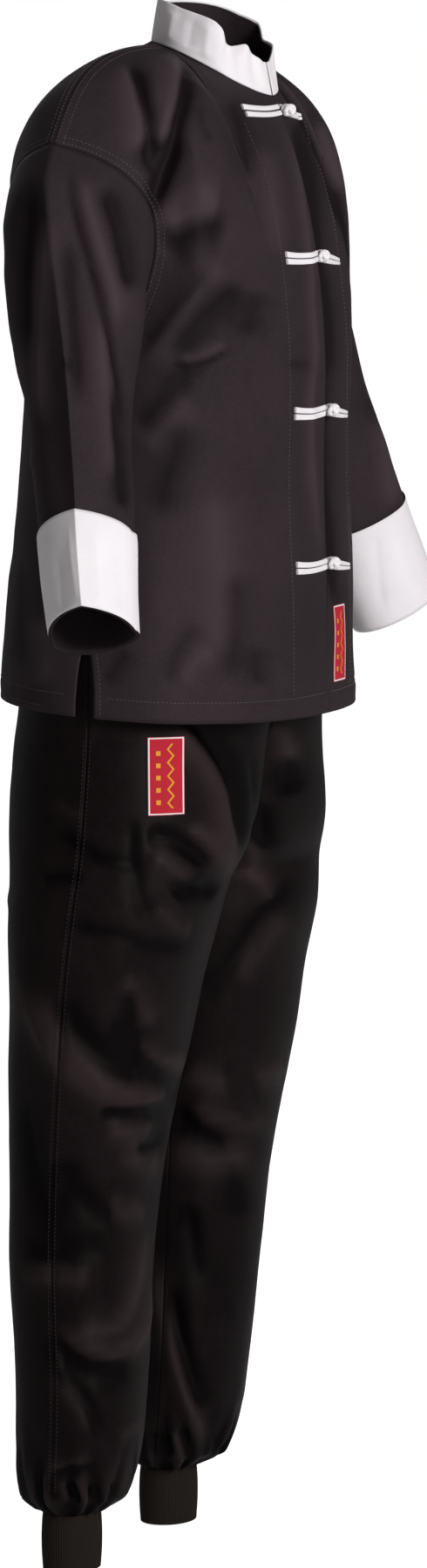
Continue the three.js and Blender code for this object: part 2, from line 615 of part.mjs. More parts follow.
// What lies on a panel follows its surface: points are dropped onto the panel and lifted off it.
function onPanel(panel, start, direction, lift) {
  panel.updateMatrixWorld();
  const hits = new THREE.Raycaster(start, direction).intersectObject(panel);
  if (hits.length === 0) throw new Error(`no cloth of ${panel.name} under ${start.toArray()}`);
  return hits[0].point.clone().addScaledVector(direction, -lift);
}

function onFront(panel, x, z, lift) {
  return onPanel(panel, vector(x, -RAY_START, z), vector(0, 1, 0), lift);
}

function asManifold(geometry) {
  const bare = geometry.clone();
  bare.deleteAttribute('normal');
  bare.deleteAttribute('uv');
  const merged = mergeVertices(bare, 1e-3);
  return new wasm.Manifold(new wasm.Mesh({
    numProp: 3,
    vertProperties: new Float32Array(merged.attributes.position.array),
    triVerts: new Uint32Array(merged.index.array),
  }));
}

function fromManifold(solid) {
  const { vertProperties, triVerts } = solid.getMesh();
  const geometry = new THREE.BufferGeometry();
  geometry.setAttribute('position', new THREE.BufferAttribute(new Float32Array(vertProperties), 3));
  geometry.setIndex(new THREE.BufferAttribute(new Uint32Array(triVerts), 1));
  return geometry;
}

// A doubled cord along the front of the jacket: its two lower edges lie on the panel, and its section has a
// crest for each cord with a groove between them. The ends are closed.
function doubledCord(panel, stations, level) {
  const rings = stations.map((x, k) => {
    const sag = FROG.sag * Math.sin(Math.PI * k / (stations.length - 1));
    const foot = (edge) => onFront(panel, x, level - sag + edge * FROG.height, FROG.lift);
    const lower = foot(-0.5);
    const upper = foot(0.5);
    const middle = foot(0);
    const out = vector(0, lower.z - upper.z, upper.y - lower.y).normalize();
    const crests = FROG_CRESTS.map((crest) => lower.clone().lerp(upper, crest.share)
      .addScaledVector(out, crest.out * FROG.rise));
    return [lower, ...crests, upper, middle];
  });
  const count = rings[0].length;
  const positions = rings.flat().flatMap((point) => [point.x, point.y, point.z]);
  const triangles = [];
  for (let k = 0; k < rings.length - 1; k += 1) {
    for (let j = 0; j < count; j += 1) {
      const a = k * count + j;
      const b = k * count + (j + 1) % count;
      triangles.push(a, b + count, b, a, a + count, b + count);
    }
  }
  const end = (rings.length - 1) * count;
  for (const [base, flip] of [[0, false], [end, true]]) {
    const middle = base + count - 1;
    for (let j = base; j < middle - 1; j += 1) {
      triangles.push(...(flip ? [j, middle, j + 1] : [j, j + 1, middle]));
    }
  }
  const geometry = new THREE.BufferGeometry();
  geometry.setAttribute('position', new THREE.Float32BufferAttribute(positions, 3));
  geometry.setIndex(triangles);
  return geometry;
}

// Half a frog fastening: a doubled cord, and on the left front the ball knot that the loop holds.
function frogHalf(panel, side, number) {
  const level = FROG_LEVELS[number - 1];
  const stations = [...Array(FROG.steps + 1).keys()].map((k) => {
    const x = THREE.MathUtils.lerp(FROG.start, FROG.reach, k / FROG.steps);
    return side === 'left' ? x : x - FROG.reach - FROG.start;
  });
  let solid = asManifold(doubledCord(panel, stations, level));
  if (side === 'left') {
    const ball = new THREE.IcosahedronGeometry(FROG.knot / 2, 1);
    ball.scale(...FROG_KNOT_SHAPE);
    const seat = onFront(panel, FROG.start + 2, level, FROG.knot / 2);
    ball.translate(seat.x, seat.y, seat.z + 1);
    solid = solid.add(asManifold(ball));
  }
  return piece(`frog_${number}_${side}`, fromManifold(solid), WHITE_COTTON);
}

// A small woven label laid on a panel, seen from the given turn round the wearer.
function label(name, panel, place) {
  const eye = THREE.MathUtils.degToRad(place.turn);
  const into = vector(-Math.sin(eye), Math.cos(eye), 0);
  const across = vector(Math.cos(eye), Math.sin(eye), 0);
  const middle = vector(place.x, place.y, place.level).addScaledVector(into, -RAY_START / 2);
  const outer = [];
  for (let i = 0; i <= 4; i += 1) {
    const row = [];
    for (let j = 0; j <= 3; j += 1) {
      const start = middle.clone().addScaledVector(across, (j / 3 - 0.5) * place.width)
        .add(vector(0, 0, (0.5 - i / 4) * place.height));
      row.push(onPanel(panel, start, into, LABEL_CLOTH + place.lift));
    }
    outer.push(row);
  }
  return piece(name, wallBetween(outer, moved(outer, -LABEL_CLOTH)), RED_WOVEN);
}

// Trousers
function trunkRow(section, face) {
  const sign = face === 'front' ? -1 : 1;
  const curve = new THREE.CubicBezierCurve3(
    vector(section.inX, section.inY, section.level),
    vector(section.inX + section.pullX, section.inY + section.pullY, section.level),
    vector(section.side, section.sideY + sign * section.square, section.level),
    vector(section.side, section.sideY, section.level),
  );
  return curve.getPoints(LEG_COLUMNS);
}

function legRow(section, face, side) {
  const sign = face === 'front' ? -1 : 1;
  const middle = side === 'left' ? section.leftY : section.rightY;
  const reach = sign * section.deep * 4 / 3;
  const curve = new THREE.CubicBezierCurve3(
    vector(LEG_CENTRE - section.wide, middle, section.level),
    vector(LEG_CENTRE - section.wide, middle + reach, section.level),
    vector(LEG_CENTRE + section.wide, middle + reach, section.level),
    vector(LEG_CENTRE + section.wide, middle, section.level),
  );
  return curve.getPoints(LEG_COLUMNS);
}

function gathered(rows, middle) {
  const last = rows.length - 1;
  return rows.map((row, i) => row.map((point, j) => {
    const share = smooth((i - last + 4) / 3) * (i === last ? SEAM_GATHER_SHARE : 1);
    const depth = GATHER_DEPTH * share * (j % 2 === 0 ? 1 : -1);
    const outward = point.clone().sub(middle).setZ(0).normalize();
    return point.clone().addScaledVector(outward, depth);
  }));
}

function legPanel(face, side) {
  const trunk = face === 'front' ? TRUNK_FRONT : TRUNK_BACK;
  const half = [
    ...trunk.map((section) => trunkRow(section, face)),
    ...LEG_SECTIONS.map((section) => legRow(section, face, side)),
  ];
  const placed = side === 'left' ? half : mirrored(half);
  const legX = side === 'left' ? LEG_CENTRE : -LEG_CENTRE;
  const ankle = LEG_SECTIONS.at(-1);
  const middle = vector(legX, side === 'left' ? ankle.leftY : ankle.rightY, 0);
  const middleAt = (point) => {
    const belowCrotch = smooth((LEG_PARTING.top - point.z) / LEG_PARTING.reach);
    return vector(legX * belowCrotch, middle.y * belowCrotch, point.z);
  };
  const rows = gathered(folded(placed, 'leg', middleAt), middle);
  const grid = face === 'front' ? rows : reversed(rows);
  return piece(`leg_${face}_${side}`, clothWall(drawnBack(grid, SEAM_HALF), CLOTH), BLACK_TROUSER);
}

function ellipseRing(wide, front, backDepth, centre, count, relief = () => 0) {
  const points = [];
  for (let j = 0; j < count; j += 1) {
    const angle = 2 * Math.PI * j / count;
    const deep = Math.sin(angle) > 0 ? backDepth : front;
    const swell = relief(j);
    points.push(vector(
      centre.x + (wide + swell) * Math.cos(angle),
      centre.y + (deep + swell) * Math.sin(angle),
      centre.z,
    ));
  }
  return points;
}

function waistband() {
  const { halfWidth, front, back: behind, top, height, points } = WAISTBAND;
  const ring = (level) => ellipseRing(halfWidth, front, behind, vector(0, 0, level), points);
  const rows = [ring(top), ring(top - height)];
  return piece('waistband', wallBetween(rows, moved(rows, -CLOTH, true), true), BLACK_TROUSER);
}

function ankleRib(side) {
  const sign = side === 'left' ? 1 : -1;
  const ankle = LEG_SECTIONS.at(-1);
  const centreY = side === 'left' ? ankle.leftY : ankle.rightY;
  const count = ANKLE_RIB.ribs * 2;
  const levels = [ANKLE_RIB.top, ANKLE_RIB.bottom];
  const ribbed = (j) => (j % 2 === 0 ? ANKLE_RIB.relief : 0);
  const ring = (level, set, relief) => {
    const deep = ANKLE_RIB.deep - set;
    const centre = vector(sign * LEG_CENTRE, centreY, level);
    return ellipseRing(ANKLE_RIB.wide - set, deep, deep, centre, count, relief);
  };
  const outer = levels.map((level) => ring(level, ANKLE_RIB.relief, ribbed));
  const inner = levels.map((level) => ring(level, RIB_CLOTH + ANKLE_RIB.relief, () => 0));
  return piece(`rib_${side}`, wallBetween(outer, inner, true), BLACK_KNIT);
}

const uniform = new THREE.Group();
const panelRight = piece('jacket_front_right', clothWall(frontRight, CLOTH), BLACK_DRILL);
const panelLeft = piece('jacket_front_left', clothWall(frontLeft, CLOTH), BLACK_DRILL);
uniform.add(panelRight, panelLeft, piece('jacket_back', clothWall(back, CLOTH), BLACK_DRILL));
uniform.add(...sleeve('right'), ...sleeve('left'), ...collar());
for (let number = 1; number <= FROG_LEVELS.length; number += 1) {
  uniform.add(frogHalf(panelRight, 'right', number), frogHalf(panelLeft, 'left', number));
}
uniform.add(label('label_jacket', panelLeft, JACKET_LABEL));
const legFrontRight = legPanel('front', 'right');
uniform.add(legFrontRight, legPanel('back', 'right'), legPanel('front', 'left'), legPanel('back', 'left'));
uniform.add(waistband(), ankleRib('right'), ankleRib('left'));
uniform.add(label('label_trousers', legFrontRight, TROUSER_LABEL));

export default uniform;
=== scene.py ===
"""A tai chi uniform as worn: jacket with stand collar, frogs and cuffs, over trousers with ankle ribs."""
import json
import math
from collections import Counter
from functools import partial

import bmesh
import bpy
import numpy as np
from bpy.props import FloatProperty, FloatVectorProperty, IntProperty, PointerProperty
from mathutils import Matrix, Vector, noise
from mathutils.bvhtree import BVHTree
from mathutils.kdtree import KDTree

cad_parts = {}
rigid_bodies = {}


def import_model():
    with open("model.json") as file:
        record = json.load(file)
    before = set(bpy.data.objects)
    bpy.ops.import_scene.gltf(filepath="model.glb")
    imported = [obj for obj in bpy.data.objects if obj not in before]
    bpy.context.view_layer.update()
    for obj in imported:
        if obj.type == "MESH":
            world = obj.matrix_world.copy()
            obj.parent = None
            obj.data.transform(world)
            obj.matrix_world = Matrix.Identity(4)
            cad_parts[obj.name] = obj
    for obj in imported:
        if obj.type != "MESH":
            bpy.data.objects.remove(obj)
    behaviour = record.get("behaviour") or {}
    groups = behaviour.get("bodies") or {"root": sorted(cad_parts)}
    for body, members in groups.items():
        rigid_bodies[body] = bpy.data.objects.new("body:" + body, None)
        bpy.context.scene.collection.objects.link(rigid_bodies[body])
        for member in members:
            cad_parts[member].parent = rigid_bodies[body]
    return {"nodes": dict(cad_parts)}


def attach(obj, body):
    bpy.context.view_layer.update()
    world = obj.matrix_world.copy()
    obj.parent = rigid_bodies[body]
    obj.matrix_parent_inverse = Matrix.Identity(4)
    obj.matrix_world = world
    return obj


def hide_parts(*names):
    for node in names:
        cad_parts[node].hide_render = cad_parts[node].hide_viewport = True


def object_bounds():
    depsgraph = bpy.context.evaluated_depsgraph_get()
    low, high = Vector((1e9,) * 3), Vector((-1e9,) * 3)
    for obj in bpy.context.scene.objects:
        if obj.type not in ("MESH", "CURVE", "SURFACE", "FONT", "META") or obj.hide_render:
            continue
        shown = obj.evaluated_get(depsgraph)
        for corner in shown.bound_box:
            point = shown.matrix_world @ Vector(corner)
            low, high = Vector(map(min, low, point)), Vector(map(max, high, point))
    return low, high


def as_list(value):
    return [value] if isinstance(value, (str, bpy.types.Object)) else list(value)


bl_info = {
    "name": "Tai chi uniform",
    "version": (1, 0, 0),
    "blender": (4, 5, 0),
    "location": "View3D > Sidebar > Uniform",
    "description": "Sews the cloth, trims and stage of a worn tai chi uniform over its CAD frame",
    "category": "Object",
}

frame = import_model()
CAD_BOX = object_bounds()

MM = 0.001

# The camera, and the photograph's frame in pixels
PHOTO_WIDTH = 490
PHOTO_HEIGHT = 1800
CAMERA_PLACE = Vector((-6.03, -2.435, 0.0))
CAMERA_TARGET = Vector((0.0135, -0.0334, -0.6835))
CAMERA_LENS = 162.4
SENSOR_HEIGHT = 36.0

# The studio lights: where each stands, what it points at, and its width. Each is half as high again as wide.
LIGHT_PLACES = {
    "key": ((-2.2, -4.3, 1.3), (0, 0, -0.6), 1.2),
    "fill": ((-5.2, 0.8, 0.4), (0, 0, -0.7), 2.0),
    "rim": ((2.6, 3.0, 1.2), (0, 0, -0.6), 1.6),
}

# The floor: half its side, how far it lies below the part, and the light of its own that the camera sees
FLOOR_HALF_SIDE = 30
FLOOR_GAP = 2 * MM
FLOOR_GLOW = 0.92

# How the copies of the CAD walls are refined
MERGE_DISTANCE = 0.02 * MM
RIM_ANGLE = math.radians(65)
CREASE_FROM = math.radians(22)
CREASE_RANGE = math.radians(25)
CREASE_MOST = 0.9
SHARP_ANGLE = math.radians(38)
WAISTBAND_LEVELS = 2
RIB_LEVELS = 2
LABEL_LEVELS = 3

# How the folds are laid on the cloth. They calm down near its edges, fade at their ends and where the cloth
# turns away from the eye. Their depth also paints shade into the cloth's colour in their troughs and
# highlights on their ridges.
SEAM_FADE = 9 * MM
FOLD_END_FADE = 0.22
FOLD_FACING = 0.4
FOLD_SHADE_DEPTH = 4 * MM
FOLD_SHARPNESS = 1.45
FOLD_STRENGTH = {
    "jacket": 1.5,
    "jacket_far": 1.5,
    "sleeve": 1.6,
    "sleeve_far": 1.5,
    "leg": 1.6,
    "leg_far": 1.5,
}

# The cloth's broad and fine unevenness: size and depth
BROAD_CRUMPLE = (75 * MM, 1.3 * MM)
FINE_CRUMPLE = (22 * MM, 0.28 * MM)
FINE_SEED_STEP = 5

# Where each cloth piece comes from: its CAD node, the folds laid on it, its flat size and its cut area
JACKET = {
    "cloth_front_right": dict(node="jacket_front_right", folds="jacket", flat=(0.31, 0.63), area=0.156),
    "cloth_front_left": dict(node="jacket_front_left", folds="jacket_far", flat=(0.31, 0.63), area=0.156),
    "cloth_back": dict(node="jacket_back", folds="jacket_back", flat=(0.62, 0.63), area=0.307),
}
SLEEVES = {
    "cloth_sleeve_right": dict(node="sleeve_right", folds="sleeve", flat=(0.42, 0.44), area=0.128),
    "cloth_sleeve_left": dict(node="sleeve_left", folds="sleeve_far", flat=(0.42, 0.46), area=0.137),
}
CUFFS = {
    f"cloth_cuff_{side}": dict(node=f"cuff_{side}", folds=f"cuff_{side}", flat=(0.31, area / 0.31))
    for side, area in (("right", 0.0287), ("left", 0.0309))
}
COLLARS = {
    "cloth_collar": dict(
        node="collar",
        folds="collar",
        flat=(0.385, 0.036),
        cloth="white cotton",
        thickness=1.6 * MM,
        rests_on=["cloth_back", "cloth_front_right", "cloth_front_left"],
    ),
    "cloth_collar_facing": dict(
        node="collar_facing",
        folds="collar",
        flat=(0.375, 0.034),
        cloth="jacket drill",
        thickness=1.0 * MM,
        rests_on=["cloth_collar"],
    ),
}
LEGS = {
    f"cloth_leg_{half}_{side}": dict(node=f"leg_{half}_{side}", folds=folds, flat=(0.33, 0.93), area=area)
    for side, folds in (("right", "leg"), ("left", "leg_far"))
    for half, area in (("front", 0.222), ("back", 0.219))
}
WAISTBAND = dict(node="waistband", folds="waistband", flat=(0.89, 0.037))

# Folds seen from the photograph's side: width and depth in millimetres, and the path in its pixels.
PHOTO_FOLDS = {
    "jacket": [
        (4, 1.6, [(315, 122), (333, 166), (343, 204), (349, 250), (355, 312), (361, 400), (355, 462),
                  (357, 547), (364, 616), (372, 677)]),
        (7, -5.5, [(205, 62), (213, 82), (212, 110), (204, 138), (196, 176), (187, 200), (178, 231),
                   (172, 262)]),
        (14, 4.0, [(190, 52), (196, 90), (190, 130), (178, 175)]),
        (7, -4.5, [(146, 66), (160, 92), (170, 130), (173, 168), (174, 205)]),
        (11, 3.0, [(134, 70), (146, 100), (156, 140), (160, 180)]),
        (16, 3.0, [(180, 262), (205, 246), (232, 233), (256, 236)]),
        (15, -2.6, [(182, 290), (212, 268), (240, 262), (264, 268)]),
        (13, -2.2, [(196, 416), (214, 392), (236, 364), (262, 342), (280, 322)]),
        (13, 2.0, [(160, 425), (180, 395), (204, 362), (236, 324), (262, 300)]),
        (12, -2.2, [(153, 419), (176, 384), (200, 352), (226, 326), (250, 306)]),
        (3.2, -1.7, [(194, 416), (206, 421), (219, 421), (236, 418), (247, 412), (256, 406), (272, 402)]),
        (6, 1.6, [(200, 410), (222, 411), (244, 403), (262, 394)]),
        (4, -1.1, [(206, 426), (219, 430), (237, 427)]),
        (12, -1.8, [(153, 500), (176, 470), (200, 441), (222, 428)]),
        (14, 1.4, [(160, 520), (190, 486), (222, 452)]),
        (18, -1.6, [(180, 600), (186, 560), (200, 520), (214, 480)]),
        (16, 1.5, [(244, 780), (250, 720), (252, 660), (247, 600), (240, 560)]),
        (14, -1.4, [(262, 790), (270, 740), (272, 690), (268, 650)]),
        (10, -1.4, [(190, 790), (200, 760), (214, 735), (236, 715)]),
        (9, 1.2, [(206, 788), (222, 762), (246, 745)]),
        (10, -1.2, [(120, 790), (132, 762), (150, 744)]),
        (9, -1.1, [(300, 792), (296, 764), (300, 740)]),
        (5, -0.9, [(330, 416), (346, 420), (362, 416)]),
        (5, -0.8, [(228, 116), (232, 140), (244, 166)]),
        (10, -1.5, [(262, 108), (276, 140), (284, 176), (286, 210)]),
        (10, 1.2, [(300, 160), (310, 200), (316, 250), (316, 300)]),
        (14, -1.2, [(300, 330), (292, 360), (280, 392)]),
    ],
    "jacket_far": [
        (8, -4.0, [(340, 124), (344, 150), (353, 204), (360, 260), (366, 330), (369, 410), (366, 480),
                   (368, 560), (376, 620), (386, 680), (392, 720)]),
        (9, -2.4, [(345, 120), (360, 160), (374, 205), (386, 250)]),
        (10, 2.0, [(360, 130), (378, 180), (392, 230)]),
        (8, -1.6, [(372, 300), (378, 350), (380, 400), (376, 440)]),
        (7, 1.2, [(400, 560), (402, 620), (400, 680)]),
    ],
    "sleeve": [
        (3.6, -2.2, [(79, 176), (82, 225), (92, 265), (103, 300), (116, 345), (128, 395), (137, 445),
                     (146, 500)]),
        (8, 2.2, [(92, 190), (98, 236), (112, 282), (128, 330), (138, 380)]),
        (9, -2.6, [(120, 205), (134, 250), (146, 300), (150, 340)]),
        (7, 1.8, [(110, 350), (118, 420), (124, 500), (128, 560)]),
        (7, -1.7, [(76, 260), (82, 330), (88, 400), (92, 470)]),
        (8, -2.2, [(40, 200), (34, 270), (30, 340), (32, 420)]),
        (8, 1.8, [(52, 240), (46, 330), (44, 420), (46, 500)]),
        (7, -2.0, [(130, 430), (134, 500), (140, 560), (146, 590)]),
        (4, -0.8, [(64, 414), (76, 418), (90, 416)]),
        (9, -1.6, [(100, 620), (104, 660), (108, 700)]),
        (6, -1.2, [(66, 640), (70, 690), (74, 720)]),
    ],
    "leg": [
        (8, -4.8, [(206, 816), (224, 830), (242, 852), (260, 880), (270, 906), (276, 950), (278, 990)]),
        (12, 3.2, [(190, 830), (214, 850), (238, 880), (254, 915), (262, 960), (262, 1000)]),
        (7, -3.4, [(165, 963), (180, 960), (196, 963), (214, 973), (230, 986), (240, 998)]),
        (9, 2.6, [(214, 948), (236, 962), (254, 984), (268, 1010)]),
        (10, 2.0, [(168, 984), (190, 990), (208, 1006), (222, 1014)]),
        (8, -4.2, [(196, 1030), (208, 1021), (222, 1017), (238, 1019), (250, 1030)]),
        (9, -2.6, [(128, 1170), (142, 1192), (162, 1212), (182, 1231), (194, 1236)]),
        (8.5, 3.6, [(19, 1106), (34, 1156), (50, 1191), (69, 1222), (94, 1244), (125, 1262), (156, 1266),
                    (181, 1256), (200, 1234)]),
        (8, 2.2, [(41, 1131), (53, 1162), (69, 1191), (91, 1216), (119, 1241), (147, 1253), (175, 1251)]),
        (11, -2.6, [(66, 1140), (84, 1180), (110, 1208), (140, 1228), (168, 1236)]),
        (8, 3.2, [(156, 1194), (169, 1209), (187, 1219), (204, 1219), (214, 1206)]),
        (7.5, -3.4, [(110, 1278), (130, 1275), (152, 1273), (176, 1275), (196, 1271)]),
        (10, 3.0, [(118, 1290), (140, 1300), (160, 1302), (180, 1290)]),
        (7.5, -3.0, [(152, 1319), (166, 1313), (180, 1303), (196, 1290)]),
        (9, 2.4, [(134, 1320), (152, 1332), (170, 1334), (184, 1322)]),
        (9, -2.0, [(30, 1250), (36, 1320), (50, 1380), (70, 1420)]),
        (10, 2.2, [(22, 1464), (50, 1462), (80, 1466), (108, 1472)]),
        (9, -2.4, [(26, 1440), (60, 1430), (96, 1438), (128, 1424)]),
        (7, 3.2, [(62, 1516), (81, 1537), (106, 1551), (128, 1554), (149, 1544), (164, 1522), (174, 1490),
                  (180, 1440)]),
        (7, 2.4, [(76, 1518), (96, 1528), (116, 1530), (134, 1521), (147, 1500), (156, 1466), (163, 1430),
                  (168, 1400)]),
        (9, -3.4, [(54, 1532), (76, 1560), (100, 1576), (126, 1576), (150, 1560)]),
        (6, -1.6, [(66, 1572), (82, 1588), (98, 1610), (110, 1632), (118, 1652)]),
        (6, 1.6, [(60, 1580), (76, 1600), (92, 1624), (104, 1650)]),
        (4, 1.6, [(50, 1688), (70, 1682), (90, 1678), (110, 1675)]),
        (5, -1.4, [(50, 1694), (70, 1690), (90, 1686), (112, 1682)]),
        (4, 1.2, [(134, 1650), (146, 1642), (160, 1634)]),
        (6, -1.2, [(60, 950), (86, 966), (112, 984), (140, 992), (168, 994)]),
        (5, 0.9, [(56, 916), (80, 932), (100, 938)]),
        (6, -1.0, [(46, 1008), (70, 1006), (100, 1008)]),
        (6, -1.1, [(62, 1058), (96, 1064), (130, 1072), (168, 1086), (200, 1086), (224, 1084)]),
        (9, -1.6, [(152, 930), (150, 980), (160, 1030), (176, 1070)]),
        (8, 1.4, [(180, 1040), (200, 1062), (222, 1066)]),
        (8, -1.8, [(150, 1130), (150, 1160), (146, 1190)]),
        (10, 2.0, [(140, 1120), (160, 1150), (172, 1180)]),
        (10, -2.6, [(62, 1330), (84, 1366), (110, 1396), (136, 1400)]),
        (10, 2.2, [(120, 1380), (144, 1392), (166, 1380)]),
        (4, -2.2, [(58, 1696), (60, 1712), (66, 1724)]),
        (4, -2.4, [(78, 1700), (84, 1714), (92, 1728)]),
        (4, 2.0, [(84, 1694), (92, 1708), (100, 1728)]),
        (4, -2.4, [(104, 1704), (112, 1716), (117, 1730)]),
        (4, 1.8, [(70, 1700), (74, 1712), (78, 1726)]),
        (4, -2.0, [(128, 1700), (132, 1712), (128, 1728)]),
        (7, -2.2, [(148, 1230), (152, 1226), (160, 1224)]),
    ],
    "leg_far": [
        (9, -3.6, [(328, 862), (332, 892), (338, 912)]),
        (10, 3.2, [(300, 828), (318, 838), (328, 860), (332, 890)]),
        (8, -3.4, [(300, 922), (302, 950), (304, 978)]),
        (9, 2.6, [(286, 960), (288, 990), (286, 1020)]),
        (9, 2.0, [(288, 1000), (304, 1020), (312, 1036)]),
        (8, -1.6, [(341, 1000), (322, 1024), (300, 1050), (282, 1080), (262, 1112), (240, 1138),
                   (225, 1152)]),
        (9, 1.8, [(330, 1040), (306, 1074), (286, 1104), (268, 1134)]),
        (10, 2.6, [(210, 1228), (226, 1238), (244, 1246), (264, 1240)]),
        (9, 2.4, [(290, 1240), (308, 1234), (326, 1220)]),
        (9, -3.2, [(200, 1268), (212, 1286), (226, 1301), (244, 1312), (266, 1319)]),
        (9, 2.2, [(216, 1262), (238, 1281), (269, 1288), (316, 1286)]),
        (13, 2.8, [(190, 1304), (212, 1329), (234, 1338), (262, 1334), (294, 1312)]),
        (4, -1.0, [(272, 1284), (282, 1283), (292, 1286)]),
        (7, 3.6, [(181, 1428), (183, 1490), (194, 1544), (207, 1590), (222, 1632), (233, 1664)]),
        (8, -2.6, [(194, 1470), (206, 1530), (220, 1580), (236, 1624)]),
        (10, -2.0, [(214, 1380), (222, 1430), (230, 1480)]),
        (9, -1.4, [(260, 1330), (270, 1362), (280, 1400)]),
        (6, -1.8, [(240, 1640), (252, 1660), (264, 1672)]),
        (4, -2.2, [(188, 1646), (192, 1660), (196, 1674)]),
        (4, 2.0, [(196, 1642), (204, 1658), (210, 1676)]),
        (4, -2.2, [(206, 1638), (216, 1656), (222, 1680)]),
        (4, -1.8, [(176, 1640), (178, 1656), (178, 1668)]),
    ],
    "jacket_back": [
        (10, -3.0, [(28, 200), (18, 260), (12, 320)]),
        (12, -2.4, [(24, 640), (22, 700), (26, 780)]),
        (12, 2.0, [(44, 700), (48, 750), (50, 790)]),
    ],
    "collar": [
        (4, 1.2, [(200, 10), (197, 30), (194, 48)]),
        (5, -1.4, [(222, 18), (219, 40), (216, 58)]),
        (4, 1.2, [(240, 26), (238, 48), (236, 70)]),
        (5, -1.6, [(258, 50), (256, 66), (254, 80)]),
        (4, 1.3, [(272, 60), (274, 76), (276, 92)]),
        (4, -1.4, [(290, 56), (292, 80), (296, 98)]),
        (3, 1.2, [(303, 72), (304, 90), (306, 104)]),
    ],
    "cuff_right": [
        (5, -1.2, [(64, 630), (70, 680), (74, 724)]),
        (4, 1.0, [(78, 600), (84, 660), (88, 690)]),
        (6, 1.2, [(108, 600), (112, 650), (116, 700)]),
        (5, -1.0, [(132, 612), (138, 660), (142, 712)]),
    ],
    "cuff_left": [
        (6, -1.6, [(433, 608), (436, 660), (440, 704)]),
        (7, 1.2, [(452, 602), (460, 650), (470, 692)]),
    ],
    "sleeve_far": [
        (9, -2.6, [(412, 320), (420, 380), (428, 440), (432, 500)]),
        (9, 2.2, [(422, 400), (436, 470), (446, 540), (452, 590)]),
        (7, -1.8, [(436, 600), (444, 650), (452, 690)]),
    ],
}

